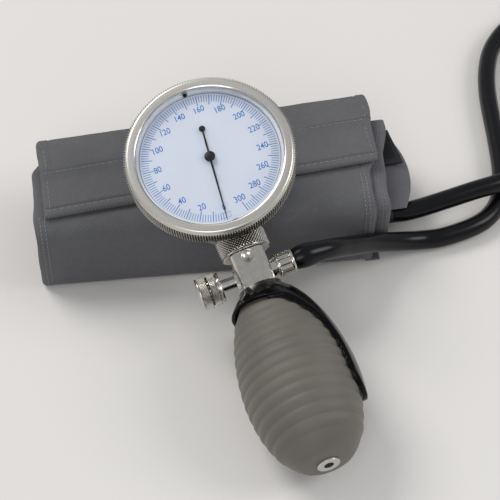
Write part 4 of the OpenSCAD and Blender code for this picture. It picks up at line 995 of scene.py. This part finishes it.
def cloth_strip(name, line, low_x, high_x, thick, pitch, wave, ends, seed, hem=0.0, lie=None):
    """A folded strip of cloth: a line across the package, drawn out along X, with rounded edges, sewn
    hems at its two sides and soft waves. Its UV map is the flat cloth, in metres."""
    points, length = spaced(line, pitch)
    r = thick / 2
    first = [k * r for k in (0, 0.04, 0.15, 0.35, 0.65, 1.0)]
    hem_marks = [hem - 0.9, hem - 0.45, hem, hem + 0.45, hem + 0.9] if hem else []
    width = high_x - low_x
    side = first + [x for x in hem_marks if x > r]
    middle = list(np.linspace(side[-1] + 1.5, width - side[-1] - 1.5, max(3, int(width / pitch))))
    columns = side + middle + [width - x for x in reversed(side)]
    rows = [length * i / (len(points) - 1) for i in range(1, len(points) - 1)]
    rows = first + [v for v in rows if r * 1.2 < v < length - r * 1.2] + [length - v for v in reversed(first)]
    gone = [length * i / (len(points) - 1) for i in range(len(points))]

    def at(v):
        i = min(len(points) - 2, max(0, int(v / length * (len(points) - 1))))
        t = (v - gone[i]) / (gone[i + 1] - gone[i])
        p = points[i].lerp(points[i + 1], t)
        a, b = points[max(0, i - 1)], points[min(len(points) - 1, i + 2)]
        d = (b - a).normalized()
        return p, Vector((-d.y, d.x))

    verts, uv = [], []
    for face in (1, -1):
        for v in rows:
            p, n = at(v)
            for u in columns:
                edge = (min(drop_off(u, r), drop_off(width - u, r))
                        * min(drop_off(v, r), drop_off(length - v, r)))
                half = r * edge
                d = min(u, width - u)
                # The hem is doubled, and its seam is drawn in
                if hem and edge > 0.98:
                    half += 0.1 * (d < hem - 0.3)
                    half -= 0.16 * math.exp(-((d - hem) / 0.5) ** 2)
                spot = Vector((u * 0.045, v * 0.05, seed))
                move = wave * noise.noise(spot) + wave * 0.4 * noise.noise(spot * 3.1)
                inward = -abs(move) if edge > 0.5 else move
                x = low_x + u + ends * noise.noise(Vector((v * 0.09, seed + 7, 0))) * max(0, 1 - d / 12)
                q = p + n * (face * half + inward * face * 0.5)
                verts.append(lie(x, q.x, q.y) if lie else (x, q.x, q.y))
                uv.append((u * 0.001, (0.0003 if face < 0 else 0) - v * 0.001))
    faces = two_skins(len(columns), len(rows))
    return outward(piece(name, verts, faces, TABLE, 70, uv)), (width, length)


def wrap_line():
    start = layer_z(LAYERS - 1)
    edge = far_y(start - THICK / 2, start + THICK / 2)
    return ([(edge, start)] + turn_points(LAYERS - 1, 0, -1, 0)
            + turn_points(0, LAYERS, 1, 0) + [(SEAM_Y, layer_z(LAYERS))])


def stitched(name, path, finish=thread_grey, **values):
    return dress(grown(name, STITCHES, finish, path=path, sharp=60, **values), finish)


def seam_y(x):
    return SEAM_Y + x * math.tan(math.radians(FLAP_SKEW))


def hem_y(x):
    return seam_y(x) - FLAP_LENGTH


def eased_step(a, b, v):
    t = min(1.0, max(0.0, (v - a) / (b - a)))
    return t * t * (3 - 2 * t)


def creased(across, up, sharp):
    """Draws a rounded fold out into a sharper one. Both are measured from the round's centre."""
    if across <= 0 or up <= 0:
        return across, up
    grow = (math.hypot(across, up) / max(across, up)) ** sharp
    return across * grow, up * grow


def near_skew(side):
    """How far the cuff's near face lies back from square, with side from 0 at the left to 1 at the right."""
    return 2.3 - 6.0 * side


def far_skew(side):
    return 6.2 * side - 4.4


def out_of_square(x, y, z):
    """Where a point of the folded cuff lies, as the folds are creased and don't meet quite square."""
    side = (x + HALF_WIDTH) / (2 * HALF_WIDTH)
    near, far = eased_step(*NEAR_RUN, y), eased_step(*FAR_RUN, y)
    low = max(0.0, 1 - z / 14)
    top = layer_z(LAYERS) + THICK / 2 - CORNER
    if y > 0:
        across, up = creased(y - TURN_Y, z - top, FAR_CREASE)
        y, z = TURN_Y + across, top + up
    else:
        across, up = creased(-TURN_Y - y, CORNER - z, NEAR_CREASE)
        y, z = -TURN_Y - across, CORNER - up
    # How far the right and the left edge are drawn out (+ to the right), first for the far side
    right = (1 - near) * (2.8 + 1.2 * far) - near * (3.5 + 0.9 * eased_step(-13, -25, y))
    under = eased_step(16, 8, y) if z < layer_z(LAYERS) - PITCH / 2 else near
    left = (under - 1) * (0.5 + 0.4 * far) - under * (4.0 + 0.9 * eased_step(4, -26, y))
    return (x + side * right + (1 - side) * left,
            y + near * near_skew(side) - 1.8 * low * near * side + far * far_skew(side), z)


def wrap_lie(x, y, z):
    if z > layer_z(LAYERS) - PITCH / 2 and y < TURN_Y:
        y = TURN_Y - (TURN_Y - y) * (TURN_Y - seam_y(x)) / (TURN_Y - SEAM_Y)
    return out_of_square(x, y, z)


def inner_lie(x, y, z):
    """The same for the inner fold, whose right edge is drawn in at some places and out at others."""
    side = (x + HALF_WIDTH) / (2 * HALF_WIDTH + OVERHANG)
    near, far = eased_step(*NEAR_RUN, y), eased_step(*FAR_RUN, y)
    shift = float(np.interp(y, (-25, -18, 1.5, 12, 16), (-4.4, -4.8, -1.4, 2.2, 3.3)))
    return x + side * side * shift, y + near * near_skew(side) + far * min(0, far_skew(side)), z


def over_edge(line, x, lift, lie, keep):
    """A path on the outside of a folded strip, at one place across it."""
    path = []
    for i in range(1, len(line) - 1):
        if not keep(line[i]):
            continue
        d = (line[i + 1] - line[i - 1]).normalized()
        q = line[i] + Vector((d.y, -d.x)) * lift
        path.append(lie(x, q.x, q.y))
    return path


def make_outer_wrap():
    wrap, (width, length) = cloth_strip("cuff_wrap_cloth", wrap_line(), -HALF_WIDTH, HALF_WIDTH, THICK,
                                        pitch=1.3, wave=0.3, ends=0.5, seed=1.0, hem=5.0, lie=wrap_lie)
    dress(wrap, cloth_grey, replaces=["cuff_wrap"])


def fold_line():
    top = LAYERS - 2
    low, high = layer_z(1), layer_z(top)
    return ([(-front_y(low - THICK / 2, low + THICK / 2), low)] + turn_points(1, top, -1, PITCH)
            + [(-front_y(high - THICK / 2, high + THICK / 2), high)])


def make_inner_fold():
    inner, (width, length) = cloth_strip("cuff_inner_cloth", fold_line(), -HALF_WIDTH + 1,
                                         HALF_WIDTH + OVERHANG, THICK, pitch=1.3, wave=0.3, ends=0.4,
                                         seed=2.0, hem=6.0, lie=inner_lie)
    dress(inner, cloth_inner, replaces=["inner_fold"])


def make_flap():
    """The closing flap, from its seam to its folded hem."""
    half_thick, hem_w, groove, side_stitch = FLAP_THICK / 2, 3.6, 4.2, 5.5
    edge_xs = [66.1, 66.8, 67.3, HALF_WIDTH]
    xs = [-x for x in reversed(edge_xs)] + list(np.linspace(-65.5, 65.5, 110)) + edge_xs
    ts = [0, 0.01, 0.025, 0.045, 0.075] + list(np.linspace(0.10, 0.93, 40)) + [0.955, 0.98, 0.995, 1.0]
    verts, uv = [], []
    for face in (1, -1):
        for t in ts:
            for x in xs:
                back, front = seam_y(x) + 0.5, hem_y(x)
                y = front + (back - front) * t
                from_hem, from_side = y - front, min(x + HALF_WIDTH, HALF_WIDTH - x)
                edge = drop_off(from_side, 1.3) * drop_off(from_hem, half_thick)
                half = half_thick * edge
                if face > 0 and edge > 0.9:
                    half += 0.25 * (from_hem < hem_w) - 1.0 * math.exp(-((from_hem - groove) / 0.45) ** 2)
                    half -= 0.22 * math.exp(-((from_side - side_stitch) / 0.5) ** 2)
                    half += 0.18 * noise.noise(Vector((x * 0.06, y * 0.08, 4)))
                sag = 0.12 * noise.noise(Vector((x * 0.05, y * 0.05, 9)))
                sag += (0.75 if face > 0 else 0.3) * eased_step(back - 5.5, back - 0.5, y)
                side = (x + HALF_WIDTH) / (2 * HALF_WIDTH)
                verts.append((x + side * (1.1 + 1.7 * t) - 0.5 * (1 - side), y,
                              FLAP_TOP - FLAP_THICK + half_thick + face * half + sag))
                uv.append((x * 0.001, y * 0.001))
    flap = outward(piece("closing_flap_cloth", verts, two_skins(len(xs), len(ts)), TABLE, 70, uv))
    dress(flap, cloth_grey, replaces=["closing_flap", "flap_hem"])


def make_stitches():
    proud = THICK / 2
    stitched("seam_stitches",
             [(x, seam_y(x) - 0.7 + 0.1 * math.sin(x), FLAP_TOP + 0.86) for x in range(-66, 69, 3)])
    stitched("hem_stitches", [(x, hem_y(x) + 2.9, FLAP_TOP + 0.22) for x in range(-66, 67, 3)])
    outer, around = spaced(wrap_line(), 1.5)[0], spaced(fold_line(), 1.5)[0]
    for side, word in ((-1, "left"), (1, "right")):
        for inset in (2.4, 4.2):
            edge = side * (HALF_WIDTH - inset)
            path = over_edge(outer, edge, proud + 0.12, out_of_square,
                             lambda p: p.x < hem_y(edge) - 0.8 and 2 < p.y < 33)
            stitched(f"front_side_stitches_{word}_{round(inset)}", path, Spacing=1.7, Length=1.4, Thread=0.3)
        edge = side * (HALF_WIDTH - 2.6)
        drawn_out = 2 if side > 0 else -0.5
        stitched(f"flap_side_stitches_{word}", [(edge + drawn_out, y, FLAP_TOP + 0.05)
                                                for y in np.linspace(hem_y(edge) + 5, seam_y(edge) - 5, 8)])
        stitched(f"band_side_stitches_{word}", [out_of_square(edge, y, layer_z(LAYERS) + proud + 0.05)
                                                for y in np.linspace(seam_y(edge) + 1, TURN_Y, 8)])
    for inset in (2.2, 3.6):
        path = over_edge(around, HALF_WIDTH + OVERHANG - inset, -(proud + 0.14), inner_lie,
                         lambda p: p.x < 14 and p.y > 4)
        stitched(f"inner_edge_stitches_{round(inset)}", path, thread_dark, Spacing=1.5, Length=1.35,
                 Thread=0.34)


def pad(name, low, high, puff, finish, replaces, seed, right_round=0.0):
    """A soft stuffed slab: crowned faces, rounded sides, a little uneven."""
    verts, uv = [], []
    n, m = 72, 28  # steps along X and along Y
    lx, ly, lz = low
    hx, hy, hz = high
    middle, half = (lz + hz) / 2, (hz - lz) / 2
    for face in (1, -1):
        for j in range(m + 1):
            b = -math.cos(math.pi * j / m)
            for i in range(n + 1):
                a = -math.cos(math.pi * i / n)
                fall = (max(0, 1 - abs(a) ** 10) * max(0, 1 - abs(b) ** 6)) ** 0.5
                x = (lx + hx) / 2 + (hx - lx) / 2 * a
                if right_round and a > 0.4:
                    x -= right_round * max(0, b * b) * ((a - 0.4) / 0.6) ** 2
                y = (ly + hy) / 2 + (hy - ly) / 2 * b
                side = (x + HALF_WIDTH) / (2 * HALF_WIDTH)
                y += eased_step(*FAR_RUN, y) * min(0, far_skew(side))
                y += eased_step(*NEAR_RUN, y) * max(0, near_skew(side))
                rise = half * fall * (1 - puff * 0.35 * (a * a * 0.5 + b * b * 0.5))
                rise *= 1 + 0.12 * noise.noise(Vector((x * 0.09, y * 0.12, seed + face)))
                verts.append((x, y, middle + face * rise))
                uv.append((x * 0.001, y * 0.001))
    obj = outward(piece(name, verts, two_skins(n + 1, m + 1, closed=False), TABLE, 180, uv))
    return dress(obj, finish, replaces=replaces)


def make_layers():
    """The bladder and what is stacked over it, inside the folds."""
    bladder_t, end_t, hook_t = 8.6, 4.2, 2
    low = 2 * PITCH + 0.1
    y_low, y_high = -inner_y(low, low + bladder_t), -front_y(low, low + bladder_t)
    bag = pad("bladder_bag", (-HALF_WIDTH + 8, y_low, low), (HALF_WIDTH - 14, y_high, low + bladder_t), 0.5,
              bladder_black, ["bladder"], 1.0)
    low = low + bladder_t + SOFT_GAP
    y_low, y_high = -inner_y(low, low + end_t), -front_y(low, low + end_t)
    end = pad("folded_end_cloth", (-HALF_WIDTH + 6, y_low, low), (HALF_WIDTH + 17, y_high, low + end_t), 0.4,
              cloth_inner, ["folded_end"], 2.0, right_round=6.0)
    low += end_t + SOFT_GAP
    tape, size = cloth_strip("hook_tape_cloth", [(1.2, low + 1), (21.5, low + 1)], HALF_WIDTH - 40,
                             HALF_WIDTH + 14, 1.6, pitch=1.5, wave=0.1, ends=0.4, seed=5.0,
                             lie=lambda x, y, z: (x + 0.8 - 0.1 * y, y, z))
    dress(tape, hook_black, replaces=["hook_strip"])
    hooks = grown("hook_field", HOOKS, hook_black, moved(HALF_WIDTH + 2, 4.2, low + 1.75), sharp=60,
                  Across=18, Along=11)
    dress(hooks, hook_black)
    low += hook_t + SOFT_GAP
    high = layer_z(LAYERS - 2) - THICK / 2 - SOFT_GAP
    y_low, y_high = -inner_y(low, high), -front_y(low, high)
    loop = pad("loop_panel_pad", (-HALF_WIDTH + 4, y_low, low), (HALF_WIDTH + 3.5, y_high, high), 0.4,
               loop_grey, ["loop_panel"], 3.0)
    neck = lathe("bladder_neck_tube", eased([(4.05, -20.0), (4.05, 0), (0, 0), (0, -20.0)], 0.4),
                 moved(*HOSE_END) @ turned(0, 90, 0), 48)
    dress(neck, bladder_black, replaces=["bladder_tube_neck"])
    box_low, box_high = (v * 1000 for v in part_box("cuff_tab"))
    tab, _ = cloth_strip("size_tab_cloth", [(box_low.y, 0.45), (box_high.y, 0.45)], box_low.x, box_high.x,
                         0.7, pitch=0.8, wave=0.05, ends=0.2, seed=6.0)
    dress(tab, tab_grey, replaces=["cuff_tab"])


make_outer_wrap()
make_inner_fold()
make_flap()
make_stitches()
make_layers()

# Room


def make_room():
    floor = bpy.data.meshes.new("floor")
    floor.from_pydata([(-6, -6, 0), (6, -6, 0), (6, 6, 0), (-6, 6, 0)], [], [(0, 1, 2, 3)])
    ground = bpy.data.objects.new("floor", floor)
    bpy.context.scene.collection.objects.link(ground)
    ground.location.z = -0.0002
    pale = Finish("floor_pale", Roughness=0.9, Specular_IOR_Level=0.1)
    cloud = pale.grain(0.6, 2.0)
    pale.colour(pale.mixed(cloud, rgb(222, 218, 214), rgb(228, 225, 222)))
    ground.data.materials.append(pale.made)
    world = bpy.data.worlds.new("studio")
    bpy.context.scene.world = world
    world.use_nodes = True
    sky = world.node_tree.nodes["Background"]
    sky.inputs["Color"].default_value, sky.inputs["Strength"].default_value = (0.93, 0.96, 1.0, 1), 0.42
    middle_of_part = Vector((0.02, -0.02, 0.03))
    for name, place, size, power, tint in (
            ("lamp_far_left", (-0.75, 0.75, 1.25), 0.9, 13, (1.0, 0.985, 0.96)),
            ("lamp_right", (1.1, -0.25, 0.9), 0.7, 5.5, (1.0, 0.99, 0.97)),
            ("lamp_near", (-0.35, -1.1, 1.0), 0.8, 4.5, (0.97, 0.985, 1.0))):
        lamp = bpy.data.lights.new(name, "AREA")
        lamp.shape, lamp.size, lamp.energy, lamp.color = "DISK", size, power, tint
        obj = bpy.data.objects.new(name, lamp)
        bpy.context.scene.collection.objects.link(obj)
        obj.location = place
        obj.rotation_euler = (Vector(place) - middle_of_part).to_track_quat("Z", "Y").to_euler()
    bpy.context.scene.view_settings.view_transform = "Standard"


make_room()
